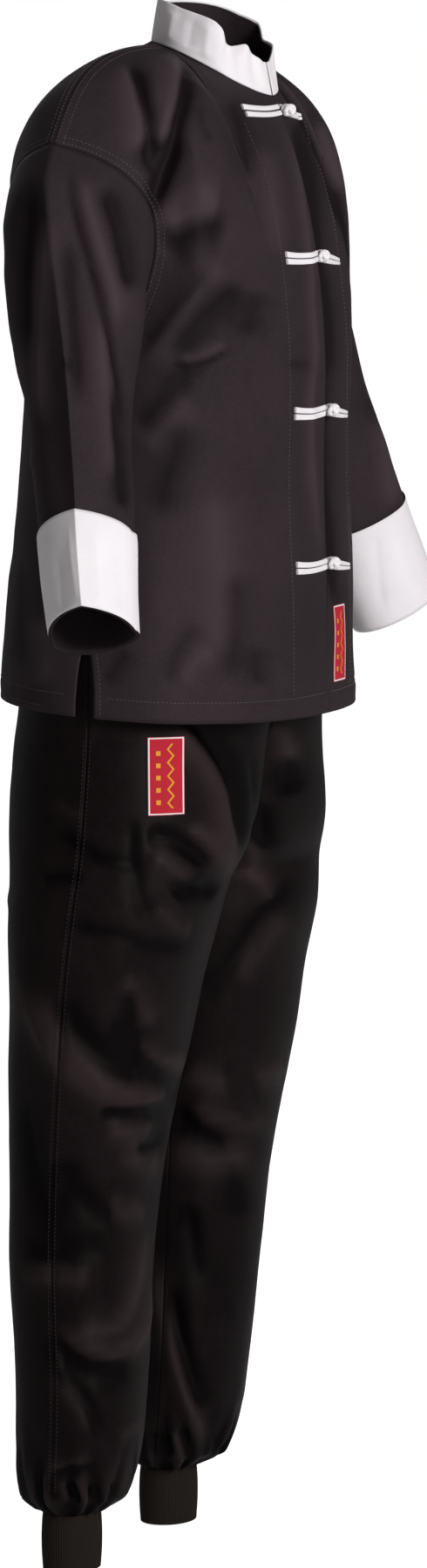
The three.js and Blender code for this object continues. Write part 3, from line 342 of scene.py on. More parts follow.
# Folds on the sides that the photograph doesn't show: the eye's turn round the wearer from straight in
# front, then width, depth, and the path as across and height in millimetres.
SIDE_FOLDS = {
    "jacket_far": [
        (40, 9, -4.0, [(-14, -12), (-22, -60), (-8, -120), (10, -180), (24, -240)]),
        (40, 12, 3.0, [(10, -20), (6, -80), (20, -150)]),
        (60, 12, -2.6, [(60, -290), (20, -330), (-30, -350), (-70, -330)]),
        (60, 11, 2.0, [(50, -320), (10, -360), (-40, -384)]),
        (60, 4, -1.5, [(30, -376), (0, -384), (-28, -376)]),
        (50, 14, -2.0, [(-30, -590), (-24, -530), (-4, -460), (10, -400)]),
        (50, 12, 1.8, [(20, -592), (24, -540), (36, -480)]),
    ],
    "jacket_back": [
        (180, 13, -3.2, [(-150, -80), (-110, -130), (-90, -200), (-96, -270)]),
        (180, 13, -3.2, [(150, -86), (118, -140), (92, -205), (98, -280)]),
        (180, 16, 2.6, [(-60, -120), (-40, -180), (-36, -240)]),
        (180, 14, -2.4, [(-90, -215), (-30, -240), (40, -236), (100, -212)]),
        (180, 16, 2.0, [(-70, -250), (0, -270), (80, -250)]),
        (180, 12, -2.0, [(-120, -380), (-60, -400), (10, -396)]),
        (180, 12, -1.8, [(110, -400), (60, -430), (20, -434)]),
        (180, 16, -2.4, [(-70, -596), (-64, -530), (-50, -470)]),
        (180, 16, 2.2, [(-20, -596), (-14, -540), (-10, -480)]),
        (180, 16, -2.4, [(60, -596), (56, -530), (40, -470)]),
        (180, 16, 2.2, [(120, -596), (112, -530), (104, -460)]),
    ],
    "sleeve": [
        (160, 9, -3.0, [(230, -150), (250, -220), (246, -290), (262, -350)]),
        (160, 8, 2.4, [(262, -180), (272, -250), (284, -320)]),
        (160, 6, -2.2, [(246, -330), (276, -350), (306, -346)]),
        (160, 6, 1.8, [(250, -350), (284, -372), (318, -366)]),
        (160, 8, -2.0, [(296, -400), (310, -450), (330, -500)]),
    ],
    "sleeve_far": [
        (60, 8, -3.2, [(96, -120), (104, -190), (120, -260), (136, -330)]),
        (60, 9, 2.6, [(120, -140), (132, -220), (148, -300)]),
        (60, 5, -2.0, [(100, -330), (130, -350), (168, -340)]),
        (200, 9, -3.0, [(-240, -160), (-262, -230), (-258, -300), (-276, -370)]),
        (200, 7, 2.2, [(-270, -190), (-284, -260), (-296, -330)]),
        (200, 6, -2.0, [(-262, -350), (-292, -366), (-322, -360)]),
    ],
    "leg": [
        (180, 10, -3.6, [(150, -730), (118, -764), (76, -790), (30, -786)]),
        (180, 10, 3.0, [(160, -766), (120, -800), (70, -822)]),
        (180, 9, -2.8, [(132, -984), (112, -1002), (84, -1000), (58, -984)]),
        (180, 9, 2.4, [(132, -1012), (112, -1030), (80, -1028)]),
        (180, 9, -2.6, [(132, -1168), (112, -1188), (86, -1190)]),
        (180, 9, 2.2, [(132, -1194), (112, -1214), (84, -1210)]),
        (180, 12, -2.4, [(120, -600), (128, -660), (120, -720)]),
        (20, 9, -3.0, [(-120, -640), (-90, -700), (-60, -740)]),
        (20, 9, -3.0, [(-150, -930), (-112, -956), (-72, -948)]),
    ],
    "leg_far": [
        (180, 10, -3.6, [(-150, -726), (-112, -760), (-70, -784), (-30, -780)]),
        (180, 10, 3.0, [(-160, -760), (-116, -794), (-66, -816)]),
        (180, 8, -3.2, [(-150, -1000), (-116, -1022), (-78, -1012)]),
        (180, 8, 2.8, [(-150, -1026), (-112, -1050), (-76, -1040)]),
        (180, 8, -3.0, [(-146, -1180), (-112, -1204), (-80, -1196)]),
        (180, 12, -2.4, [(-120, -600), (-130, -660), (-120, -730)]),
        (60, 10, -3.4, [(124, -860), (108, -905), (84, -935), (58, -944)]),
        (60, 10, 2.8, [(126, -890), (110, -940), (86, -966), (60, -972)]),
        (60, 9, -2.8, [(112, -1110), (96, -1140), (76, -1158), (54, -1162)]),
        (60, 8, 2.4, [(110, -1140), (92, -1172), (66, -1188)]),
        (60, 10, -2.6, [(60, -640), (80, -700), (84, -760)]),
        (60, 8, 1.8, [(30, -660), (46, -720), (54, -780)]),
    ],
}

# How the collar bends: the turn round the neck from the centre back towards the left shoulder, in degrees,
# and how far its top edge leans out and stands up there, in millimetres.
COLLAR_BENDS = (
    (-180, 0.0, 0.0),
    (-172, 0.5, -1.0),
    (-165, 2.5, 1.0),
    (-157, -1.0, 3.0),
    (-148, 4.5, 8.0),
    (-141, -1.0, 1.0),
    (-134, -5.0, -5.0),
    (-128, -5.5, -6.0),
    (-124, 5.0, 1.0),
    (-116, 5.5, 3.0),
    (-100, 1.0, 1.5),
    (-80, -0.6, 0.0),
    (-60, 0.8, 1.0),
    (-20, -0.4, 0.5),
    (30, 0.5, 0.0),
    (90, -0.6, -1.0),
    (112, 2.5, 1.0),
    (128, -3.0, -3.5),
    (146, 2.5, 3.0),
    (162, -1.0, -1.5),
    (180, 0.0, 0.0),
)
BEND_BLUR = 6
BEND_SOFTNESS = 2.4
NECK_HALF_WIDTH = 70 * MM
NECK_HALF_DEPTH = 57 * MM
NECK_CENTRE = -40 * MM
NECK_DROP = 50 * MM
NECK_DROP_CURVE = 1.9
COLLAR_HEIGHT = 35 * MM
COLLAR_SHARE_MOST = 1.2

# The turning line of each weave: what the cloth goes round, and its mean radius
WEAVE_AXES = {
    "body": dict(top=(0.0, 0.0, 0.0), bottom=(0.0, 0.0, -1.0), radius=0.17),
    "sleeve": dict(top=(0.225, 0.006, -0.195), bottom=(0.358, -0.069, -0.516), radius=0.055),
    "leg": dict(top=(0.115, 0.03, 0.0), bottom=(0.115, 0.03, -1.0), radius=0.085),
}

# The gathers above the ankle ribs, and how unevenly they lie
GATHER_CENTRE = (115 * MM, 54 * MM)
GATHER_COUNT = 15
GATHER_TOP = -1.268
GATHER_LENGTH = 62 * MM
GATHER_DEPTH = 3.0 * MM
GATHER_WAVER = (1.7, 12.0)
GATHER_SEED = 4.0
GATHER_SWAY = 5.0
GATHER_EVENNESS = 0.7

# The turned cuffs' worn shape: how far their outer and inner pressed creases ride up the arm, and how far
# the corners between hang down
CREASE_RISE = 10 * MM
CORNER_FALL = 4 * MM
MOUTH_BEND = {"right": 1.0, "left": 0.3}
BEND_START = 60 * MM
CUFF_LENGTH = 90 * MM

# The jacket's turned hem: its level, which is lower in front, its depth and height, its stitched groove and
# the puckers along that
HEM_LEVEL = -603 * MM
HEM_TILT = 0.06
HEM_REACH = 6 * MM
HEM_DEPTH = 19 * MM
HEM_HEIGHT = 0.7 * MM
HEM_EDGE = 1.2 * MM
GROOVE_WIDTH = 2.2 * MM
PUCKER_DEPTH = 0.5 * MM
PUCKER_SIZE = 1 / 90
PUCKER_REACH = 1.5 * HEM_DEPTH

# The black cloths' glints, and how worn each drill's plain parts look, its roughness, glints and rib pitch
SPECULAR_TINT = (1.0, 0.84, 0.82, 1.0)
JACKET_DRILL = dict(wear=-0.15, roughness=0.6, specular=0.08, pitch=0.9 * MM)
TROUSER_DRILL = dict(wear=-0.45, roughness=0.44, specular=0.07, pitch=0.7 * MM)
RIB_SLANT = 1.35
CROSS_SLANT = 0.6
CROSS_PITCH = 0.62

# Pitches of the other cloths' threads
COTTON_PITCH = 0.6 * MM
WALE_PITCH = 2.1 * MM
COURSE_PITCH = 1.3 * MM
CORD_TWIST = 1.1 * MM
LABEL_WEFT = 0.7 * MM
LABEL_WARP = 0.45 * MM

# The labels' plain figure, from their middle: the border, the bars and the zigzag
BORDER_FROM = (15.2 * MM, 33.4 * MM)
BORDER_TO = (16.4 * MM, 34.5 * MM)
MARKS_REACH = 29 * MM
BAR_PITCH = 11 * MM
BAR_SHIFT = 40 * MM
BAR_FROM = 0.62
BARS_ACROSS = (-9.4 * MM, -5.2 * MM)
ZIGZAG_PITCH = 12 * MM
ZIGZAG_SWING = 5.2 * MM
ZIGZAG_PLACE = 4.2 * MM
ZIGZAG_HALF_WIDTH = 1.0 * MM

# Stitching: length and gap of a stitch, thickness of the thread, and how it sits on the cloth
STITCH_LENGTH = 2.6 * MM
STITCH_PITCH = 3.8 * MM
THREAD_WIDTH = 0.62 * MM
THREAD_HEIGHT = 0.42 * MM
THREAD_TAPER = 0.55
INSET_REACHED = 0.75
SEAM_ROWS = (3 * MM, 9 * MM)
RISE_ROWS = (2.5 * MM, 7 * MM)
SLIT_ROW = 6 * MM
SIDE_ROW = 3 * MM
HEM_LINE_END = 11 * MM
FACING_LINE = 73 * MM
FACING_TOP = -75 * MM
FACING_STEP = 5.8 * MM
FACING_STEPS = 90

# The stretches of the panels' edges that are stitched: across from the middle, deep and high
ARMHOLE_EDGE = dict(across=(0.185, 1.0), high=(-0.297, -0.092))
SHOULDER_EDGE = dict(across=(0.062, 0.243), deep=(-0.012, 1.0), high=(-0.092, 1.0))
SLIT_EDGE = dict(across=(0.17, 1.0), high=(-0.6, -0.545))
RISE_EDGE = dict(across=(-1.0, 0.006), high=(-0.755, 1.0))
SIDE_EDGE = dict(across=(0.13, 1.0), high=(-1.32, -0.62))
PANEL_REACH = 0.1

# Frog fastenings
FROG_LEVELS = (-0.063, -0.195, -0.335, -0.475)
FROG_START = 4 * MM
FROG_REACH = 66 * MM
STRIP_HALF_HEIGHT = 2.35 * MM
STRIP_HALF_THICKNESS = 1.15 * MM
STRIP_SPACING = 2.75 * MM
STRIP_FLARE = 0.16
STRIP_SEGMENTS = 12
FROG_STEPS = 15
FROG_SAG = 1.5 * MM
FROG_DROOP = 7 * MM
FROG_POINT = 0.5
KNOT_PLACE = 6 * MM
KNOT_LIFT = 6.6 * MM
KNOT_RADIUS = 4.9 * MM
KNOT_CORD = 2.5 * MM
KNOT_LEADS = 3
KNOT_BIGHTS = 4
KNOT_STEPS = 120
KNOT_WEAVE = 0.16
KNOT_TILT = 0.95
KNOT_FLATNESS = 0.85

LABELS = {
    "label_cloth_jacket": dict(
        node="label_jacket",
        on="cloth_front_left",
        centre=(0.031, -0.14, -0.55),
        turn=0,
        flat=(0.034, 0.070),
    ),
    "label_cloth_trousers": dict(
        node="label_trousers",
        on="cloth_leg_front_right",
        centre=(-0.168, -0.058, -0.656),
        turn=-62,
        flat=(0.034, 0.070),
    ),
}
LABEL_LIFT = 1.3 * MM
LABEL_THICKNESS = 0.8 * MM

RIB_SECTIONS = ((-1.3467, 0.0), (-1.355, 0.9), (-1.368, 1.5), (-1.384, 1.2), (-1.394, 0.4), (-1.4, 0.0))
RIBS = {
    "knit_rib_right": dict(node="rib_right", centre=(-0.115, 0.056)),
    "knit_rib_left": dict(node="rib_left", centre=(0.115, 0.053)),
}
RIB_SEGMENTS = 96
RIB_HALF_WIDTH = 33.5 * MM
RIB_HALF_DEPTH = 25.4 * MM
RIB_WEAVE_RADIUS = 30 * MM

# How far outside the cloth the lines start that look for its surface
PROBE_START = 0.5
LABEL_PROBE_START = 0.2

# The entries of a colour Mix node
MIX_FIRST = 6
MIX_SECOND = 7
MIX_RESULT = 2


def smooth(share):
    share = np.clip(share, 0.0, 1.0)
    return share * share * (3.0 - 2.0 * share)


def at_hem(point):
    """Whether a point lies on the jacket's bottom edge, which hangs lower in front."""
    return point[2] < HEM_LEVEL + HEM_TILT * point[1] + HEM_REACH


def side_of(name):
    return "right" if name.endswith("right") else "left"


def uniform_settings():
    return bpy.context.scene.uniform


# Shader maths


class Wire:
    """A shader value or vector. Arithmetic on it adds Math nodes."""

    def __init__(self, tree, socket):
        self.tree = tree
        self.socket = socket

    def math(self, operation, *values):
        node = self.tree.nodes.new("ShaderNodeMath")
        node.operation = operation
        for entry, value in zip(node.inputs, values):
            join(self.tree, entry, value)
        return Wire(self.tree, node.outputs[0])

    def __add__(self, other):
        return self.math("ADD", self, other)

    __radd__ = __add__

    def __sub__(self, other):
        return self.math("SUBTRACT", self, other)

    def __rsub__(self, other):
        return self.math("SUBTRACT", other, self)

    def __mul__(self, other):
        return self.math("MULTIPLY", self, other)

    def __truediv__(self, other):
        return self.math("DIVIDE", self, other)

    def __gt__(self, other):
        return self.math("GREATER_THAN", self, other)

    def __lt__(self, other):
        return self.math("LESS_THAN", self, other)

    def larger(self, other):
        return self.math("MAXIMUM", self, other)

    def size(self):
        return self.math("ABSOLUTE", self)

    def wave(self, pitch):
        """A triangle wave from 0 to 1 and back along the value, one turn to each pitch."""
        return self.math("PINGPONG", self / (pitch / 2), 1.0)


def join(tree, entry, value):
    if isinstance(value, Wire):
        tree.links.new(value.socket, entry)
    else:
        entry.default_value = value


class Finish:
    """A material for one of the uniform's cloths, built from nodes."""

    def __init__(self, name):
        self.material = bpy.data.materials.new(name)
        self.material.use_nodes = True
        self.tree = self.material.node_tree
        self.tree.nodes.clear()

    def node(self, kind, settings, values, output=0):
        node = self.tree.nodes.new(f"ShaderNode{kind}")
        for key, value in settings.items():
            setattr(node, key, value)
        for key, value in values.items():
            join(self.tree, node.inputs[key], value)
        return Wire(self.tree, node.outputs[output])

    def place(self):
        return self.node("TexCoord", {}, {}, "Object")

    def thread_place(self):
        """Across and along the weave, in metres."""
        across = self.node("SeparateXYZ", {}, {"Vector": self.node("UVMap", {"uv_map": "weave"}, {})})
        along = Wire(self.tree, across.socket.node.outputs["Y"])
        return across, along

    def fold(self):
        """How far the cloth is folded out of its plain form, for painted shade in its troughs and painted
        highlights on its ridges: -1 in a deep trough, 1 on a high ridge.
        """
        return self.node("Attribute", {"attribute_name": "fold"}, {}, "Fac")

    def noise(self, vector, scale, detail=3.0, roughness=0.5):
        values = {"Vector": vector, "Scale": scale, "Detail": detail, "Roughness": roughness}
        return self.node("TexNoise", {}, values, "Fac")

    def mix(self, share, first, second):
        """A colour between two, which are given as wires or as red, green and blue."""
        first, second = (value if isinstance(value, Wire) else (*value[:3], 1.0) for value in (first, second))
        values = {"Factor": share, MIX_FIRST: first, MIX_SECOND: second}
        return self.node("Mix", {"data_type": "RGBA"}, values, MIX_RESULT)

    def bump(self, height, strength, distance):
        return self.node("Bump", {}, {"Height": height, "Strength": strength, "Distance": distance})

    def finish(self, values):
        shader = self.node("BsdfPrincipled", {}, values)
        output = self.tree.nodes.new("ShaderNodeOutputMaterial")
        self.tree.links.new(shader.socket, output.inputs["Surface"])
        return self.material


def twill_finish(name, colour, worn, wear, roughness, specular, pitch):
    """Cotton drill: diagonal ribs, threads of uneven darkness, a dusty bloom, and painted shade in the
    troughs of its folds with painted highlights on their ridges.
    """
    finish = Finish(name)
    across, along = finish.thread_place()
    rib = (across + along * RIB_SLANT).wave(pitch)
    cross = (across - along * CROSS_SLANT).wave(pitch * CROSS_PITCH)
    patches = finish.noise(finish.place(), 7.0, 4.0)
    slub = finish.noise(finish.place(), 420.0, 2.0)
    dust = finish.noise(finish.place(), 60.0, 5.0, 0.7)
    # Painted shade and highlight: the folds' depth darkens the troughs towards the plain colour and lightens
    # the ridges towards the worn colour.
    tone = patches * 0.45 + slub * 0.3 + rib * 0.25 + dust * 0.25 + wear + finish.fold() * 0.75
    height = rib * 0.7 + cross * 0.2 + slub * 0.45
    return finish.finish({
        "Base Color": finish.mix(tone, colour, worn),
        "Roughness": roughness + (dust - 0.5) * 0.16,
        "Normal": finish.bump(height, 0.35, 0.25 * MM),
        "Specular IOR Level": specular,
        "Specular Tint": SPECULAR_TINT,
    })


def cotton_finish(name, colour, shade):
    """White poplin: a fine plain weave with faint cloudy tone, and painted shade in the troughs of its folds.
    """
    finish = Finish(name)
    across, along = finish.thread_place()
    warp = across.wave(COTTON_PITCH)
    weft = along.wave(COTTON_PITCH)
    clouds = finish.noise(finish.place(), 26.0, 4.0)
    crumples = finish.noise(finish.place(), 95.0, 4.0, 0.6)
    # Painted shade: the folds' troughs darken the white towards its shaded colour, and their ridges lighten
    # it.
    shading = clouds * 0.5 + crumples * 0.35 - finish.fold() * 0.6
    return finish.finish({
        "Base Color": finish.mix(shading, colour, shade),
        "Roughness": 0.78 + (crumples - 0.5) * 0.12,
        "Normal": finish.bump(warp * 0.2 + weft * 0.2 + crumples * 1.6, 0.4, 0.5 * MM),
        "Specular IOR Level": 0.2,
    })


def knit_finish(name, colour, worn):
    """Rib knit: upright wales crossed by fine courses."""
    finish = Finish(name)
    across, along = finish.thread_place()
    wale = across.wave(WALE_PITCH)
    course = along.wave(COURSE_PITCH)
    fuzz = finish.noise(finish.place(), 520.0, 3.0, 0.6)
    return finish.finish({
        "Base Color": finish.mix(wale * 0.55 + course * 0.25 + fuzz * 0.3 - 0.1, colour, worn),
        "Roughness": 0.86 + (fuzz - 0.5) * 0.1,
        "Normal": finish.bump(wale + course * 0.4 + fuzz * 0.3, 0.8, 0.6 * MM),
        "Specular IOR Level": 0.1,
    })


def cord_finish(name, colour, shade):
    """White frog cord: satin bias wound in a fine slanting twist."""
    finish = Finish(name)
    across = finish.node("SeparateXYZ", {}, {"Vector": finish.place()})
    upright = Wire(finish.tree, across.socket.node.outputs["Z"])
    twist = (across * 0.8 + upright).wave(CORD_TWIST)
    grain = finish.noise(finish.place(), 700.0, 3.0)
    return finish.finish({
        "Base Color": finish.mix(grain * 0.4 + twist * 0.25, colour, shade),
        "Roughness": 0.55 + grain * 0.15,
        "Normal": finish.bump(twist * 0.5 + grain * 0.5, 0.5, 0.3 * MM),
        "Sheen Weight": 0.2,
    })


def thread_finish(name, colour, worn):
    """Sewing thread with a faint grain."""
    finish = Finish(name)
    grain = finish.noise(finish.place(), 1500.0, 2.0)
    return finish.finish({
        "Base Color": finish.mix(grain, colour, worn),
        "Roughness": 0.5 + grain * 0.2,
        "Normal": finish.bump(grain, 0.3, 0.1 * MM),
        "Specular IOR Level": 0.25,
    })


def label_finish(name, colour, border, mark):
    """A red woven label with a white border and plain yellow bars and zigzag."""
    finish = Finish(name)
    across, along = finish.thread_place()
    weft = along.wave(LABEL_WEFT)
    warp = across.wave(LABEL_WARP)
    side = across.size()
    rise = along.size()
    edge = (side > BORDER_FROM[0]).larger(rise > BORDER_FROM[1])
    outside = (side > BORDER_TO[0]).larger(rise > BORDER_TO[1])
    bars = (along + BAR_SHIFT).wave(BAR_PITCH) > BAR_FROM
    bars = bars * (across < BARS_ACROSS[1]) * (across > BARS_ACROSS[0])
    swing = (along.wave(ZIGZAG_PITCH) - 0.5) * ZIGZAG_SWING
    zigzag = (across - ZIGZAG_PLACE - swing).size() < ZIGZAG_HALF_WIDTH
    marks = bars.larger(zigzag) * (rise < MARKS_REACH)
    ground = finish.mix(weft * 0.35 + warp * 0.2, colour, (colour[0] * 0.5, 0.01, 0.02))
    figured = finish.mix(marks, ground, mark)
    return finish.finish({
        "Base Color": finish.mix(edge * (1 - outside * 0.85), figured, border),
        "Roughness": 0.55 + weft * 0.15,
        "Normal": finish.bump(weft * 0.6 + warp * 0.3 + marks * 0.8 + edge * 0.6, 0.7, 0.35 * MM),
        "Specular IOR Level": 0.2,
    })


def floor_finish(name, colour):
    """A pale plain floor. The camera sees it lit a little from within, and nothing else does."""
    finish = Finish(name)
    grain = finish.noise(finish.place(), 30.0, 2.0)
    seen = finish.node("LightPath", {}, {}, "Is Camera Ray")
    return finish.finish({
        "Base Color": finish.mix(grain, colour, [part * 0.985 for part in colour]),
        "Roughness": 0.9,
        "Emission Color": finish.mix(seen, (0.0, 0.0, 0.0), (1.0, 1.0, 1.0)),
        "Emission Strength": FLOOR_GLOW,
    })


def finish_named(name):
    """The uniform's finishes, each made once."""
    ready = bpy.data.materials.get(name)
    if ready:
        return ready
    look = uniform_settings().finishes
    makers = {
        "jacket drill": lambda: twill_finish(name, look.jacket, look.jacket_worn_and_highlight, **JACKET_DRILL),
        "trouser drill": lambda: twill_finish(name, look.trousers, look.trousers_worn_and_highlight, **TROUSER_DRILL),
        "white cotton": lambda: cotton_finish(name, look.cotton, look.cotton_shade),
        "white cord": lambda: cord_finish(name, look.cotton, look.cotton_shade),
        "black knit": lambda: knit_finish(name, look.knit, look.knit_worn),
        "red woven": lambda: label_finish(name, look.label, look.cotton, look.label_mark),
        "black thread": lambda: thread_finish(name, look.thread, look.thread_worn),
        "trouser thread": lambda: thread_finish(name, look.leg_thread, look.thread),
        "floor": lambda: floor_finish(name, look.floor),
    }
    return makers[name]()


# Meshes and objects


def mesh_of(name, bm):
    """Turns a bmesh into a mesh, and frees it."""
    mesh = bpy.data.meshes.new(name)
    bm.to_mesh(mesh)
    bm.free()
    return mesh


def add_object(name, data):
    made = bpy.data.objects.new(name, data)
    bpy.context.scene.collection.objects.link(made)
    return made


def evaluated_mesh(holder):
    """The mesh that an object's modifiers or bevel give. The object and its data go."""
    graph = bpy.context.evaluated_depsgraph_get()
    mesh = bpy.data.meshes.new_from_object(holder.evaluated_get(graph))
    data = holder.data
    bpy.data.objects.remove(holder)
    bpy.data.batch_remove([data])
    return mesh


def vertex_rows(mesh, kind):
    """Each vertex's "co" or "normal", one row to a vertex."""
    values = np.empty(len(mesh.vertices) * 3)
    mesh.vertices.foreach_get(kind, values)
    return values.reshape(-1, 3)


def put_points(mesh, points):
    mesh.vertices.foreach_set("co", np.asarray(points, dtype=float).ravel())
    mesh.update()


def noise_at(places):
    """Smooth noise at each place, the same on each run."""
    return np.array([noise.noise(Vector(place)) for place in places])


def surface_of(mesh):
    """A search tree over a cloth's outer side."""
    polygons = [tuple(polygon.vertices) for polygon in mesh.polygons]
    return BVHTree.FromPolygons([vertex.co.copy() for vertex in mesh.vertices], polygons)


def front_of(surface, across, height):
    """Where a level line from in front meets the cloth, and the cloth's outward direction there."""
    place, outward, _, _ = surface.ray_cast(Vector((across, -PROBE_START, height)), Vector((0, 1, 0)))
    return place, outward


def place_piece(name, mesh, material, nodes):
    """Makes a piece of the uniform from a finished mesh."""
    piece = add_object(name, mesh)
    mesh.materials.clear()
    mesh.materials.append(finish_named(material))
    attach(piece, "root")
    if nodes:
        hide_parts(*nodes)
    return piece


def thicken(piece, thickness):
    wall = piece.modifiers.new("cloth", "SOLIDIFY")
    wall.thickness = thickness
    wall.offset = -1.0
    wall.use_even_offset = False


def line_with(piece, material):
    """Gives a thickened piece's inner side and rim another cloth."""
    piece.data.materials.append(finish_named(material))
    wall = piece.modifiers["cloth"]
    wall.material_offset = 1
    wall.material_offset_rim = 1


def declare(piece, facts, rests_on=()):
    """Looks up a piece's cut area and what it rests on, and does nothing with them."""
    facts.get("area")
    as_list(rests_on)


# Cloth modelling


def outer_side(node):
    """An open copy of a CAD wall's outer side, its triangles joined to quads and its creases weighted."""
    bm = bmesh.new()
    bm.from_mesh(frame["nodes"][node].data)
    bmesh.ops.remove_doubles(bm, verts=bm.verts, dist=MERGE_DISTANCE)
    outer = max(smooth_regions(bm), key=lambda region: sum(face.calc_area() for face in region))
    others = [face for face in bm.faces if face not in outer]
    bmesh.ops.delete(bm, geom=others, context="FACES")
    bmesh.ops.join_triangles(
        bm, faces=bm.faces, angle_face_threshold=math.pi, angle_shape_threshold=math.pi
    )
    crease = bm.edges.layers.float.get("crease_edge") or bm.edges.layers.float.new("crease_edge")
    for edge in bm.edges:
        if edge.is_manifold:
            bend = (edge.calc_face_angle() - CREASE_FROM) / CREASE_RANGE
            edge[crease] = CREASE_MOST * float(smooth(bend))
    return bm


def smooth_regions(bm):
    """Sets of faces that meet without a sharp rim between them."""
    left = set(bm.faces)
    regions = []
    while left:
        reached = [left.pop()]
        region = set(reached)
        while reached:
            face = reached.pop()
            for edge in face.edges:
                if not edge.is_manifold or edge.calc_face_angle() > RIM_ANGLE:
                    continue
                for other in edge.link_faces:
                    if other in left:
                        left.discard(other)
                        region.add(other)
                        reached.append(other)
        regions.append(region)
    return regions


def refined(bm, levels):
    """The same cloth, subdivided smoothly."""
    rough = add_object("rough cloth", mesh_of("rough cloth", bm))
    finer = rough.modifiers.new("finer", "SUBSURF")
    finer.levels = levels
    finer.render_levels = levels
    finer.boundary_smooth = "PRESERVE_CORNERS"
    return evaluated_mesh(rough)


def camera_axes():
    forward = (CAMERA_TARGET - CAMERA_PLACE).normalized()
    right = forward.cross(Vector((0, 0, 1))).normalized()
    up = right.cross(forward)
    return np.array(right), np.array(up), np.array(forward)


def photo_places(points):
    """Where points show in the photograph, in its pixels, and the millimetres that a pixel spans there."""
    right, up, forward = camera_axes()
    offset = points - np.array(CAMERA_PLACE)
    depth = offset @ forward
    focal = CAMERA_LENS / SENSOR_HEIGHT * PHOTO_HEIGHT
    column = PHOTO_WIDTH / 2 + focal * (offset @ right) / depth
    row = PHOTO_HEIGHT / 2 - focal * (offset @ up) / depth
    return np.stack([column, row], axis=1), depth / focal / MM


def path_relief(places, scale, width, depth, path):
    """A soft trough or ridge along a path: deepest on it, and fading at both ends."""
    nearest = np.full(len(places), np.inf)
    along = np.zeros(len(places))
    corners = np.array(path, dtype=float)
    for index in range(len(corners) - 1):
        run = corners[index + 1] - corners[index]
        share = np.clip((places - corners[index]) @ run / (run @ run), 0.0, 1.0)
        gap = np.linalg.norm(places - corners[index] - share[:, None] * run, axis=1)
        closer = gap < nearest
        nearest[closer] = gap[closer]
        along[closer] = (index + share[closer]) / (len(corners) - 1)
    fade = smooth(along / FOLD_END_FADE) * smooth((1 - along) / FOLD_END_FADE)
    return depth * MM * np.exp(-((nearest * scale / width) ** FOLD_SHARPNESS)) * fade


def fold_relief(points, normals, group):
    """How far a group's folds move each point out of, or into, the plain cloth."""
    relief = np.zeros(len(points))
    places, scale = photo_places(points)
    to_eye = np.array(CAMERA_PLACE) - points
    to_eye /= np.linalg.norm(to_eye, axis=1)[:, None]
    facing = smooth(np.einsum("ij,ij->i", normals, to_eye) / FOLD_FACING)
    strength = FOLD_STRENGTH.get(group, 1.0)
    for width, depth, path in PHOTO_FOLDS.get(group, ()):
        relief += path_relief(places, scale, width, depth * strength, path) * facing
    for turn, width, depth, path in SIDE_FOLDS.get(group, ()):
        eye = math.radians(turn)
        facing = smooth((normals[:, 0] * math.sin(eye) - normals[:, 1] * math.cos(eye)) / FOLD_FACING)
        across = points[:, 0] * math.cos(eye) + points[:, 1] * math.sin(eye)
        side_places = np.stack([across, points[:, 2]], axis=1) / MM
        relief += path_relief(side_places, 1.0, width, depth, path) * facing
    return relief


def gathers(points):
    """Small upright pleats where a trouser leg is drawn in above its ankle rib."""
    across = np.abs(points[:, 0]) - GATHER_CENTRE[0]
    turn = np.arctan2(across, points[:, 1] - GATHER_CENTRE[1])
    height = points[:, 2]
    seed = np.full(len(points), GATHER_SEED)
    waver = noise_at(np.stack([turn * GATHER_WAVER[0], height * GATHER_WAVER[1], seed], axis=1))
    pleats = np.cos(GATHER_COUNT * turn + GATHER_SWAY * waver)
    drawn = smooth((GATHER_TOP - height) / GATHER_LENGTH)
    return GATHER_DEPTH * pleats * drawn * (GATHER_EVENNESS + waver)


def mouth_bend(points, side):
    """Where a sleeve's lower end and its cuff move to, so that the mouth is a diamond between its creases."""
    axis = WEAVE_AXES["sleeve"]
    mirror = np.array([-1 if side == "right" else 1, 1, 1])
    top = np.array(axis["top"]) * mirror
    run = np.array(axis["bottom"]) * mirror - top
    length = np.linalg.norm(run)
    run /= length
    along = (points - top) @ run
    radial = points - top - along[:, None] * run
    radial /= np.linalg.norm(radial, axis=1)[:, None]
    share = 1 - np.arccos(np.clip(np.abs(radial[:, 0]), 0, 1)) / (math.pi / 2)
    weight = smooth((along - (length - CUFF_LENGTH - BEND_START)) / BEND_START) * MOUTH_BEND[side]
    rise = ((CREASE_RISE + CORNER_FALL) * share - CORNER_FALL) * weight
    return points - rise[:, None] * run


def collar_bend(points):
    """Where the collar's points move to, so that it bends and buckles as it is worn."""
    turn = np.arctan2(points[:, 0] / NECK_HALF_WIDTH, (points[:, 1] - NECK_CENTRE) / NECK_HALF_DEPTH)
    base = -NECK_DROP * ((1 - np.cos(turn)) / 2) ** NECK_DROP_CURVE
    share = np.clip((points[:, 2] - base) / COLLAR_HEIGHT, 0, COLLAR_SHARE_MOST)
    turns, outs, ups = np.array(COLLAR_BENDS).T
    out, up = (bend_at(np.degrees(turn), turns, bends) for bends in (outs, ups))
    moved = points.copy()
    moved[:, 0] += np.sin(turn) * out * share * MM
    moved[:, 1] += np.cos(turn) * out * share * MM
    moved[:, 2] += up * share ** 2 * MM
    return moved


def bend_at(degrees, turns, bends):
    """The collar's bends at places round the neck, softened over a few degrees."""
    fine = np.arange(-180.0, 181.0)
    soft = np.exp(-((np.arange(-BEND_BLUR, BEND_BLUR + 1) / BEND_SOFTNESS) ** 2))
    padded = np.pad(np.interp(fine, turns, bends), BEND_BLUR)
    return np.interp(degrees, fine, np.convolve(padded, soft / soft.sum(), "valid"))


def open_edges(mesh):
    """The edges that only one of a cloth's faces has, as pairs of points."""
    uses = Counter(key for polygon in mesh.polygons for key in polygon.edge_keys)
    return [key for key, count in uses.items() if count == 1]


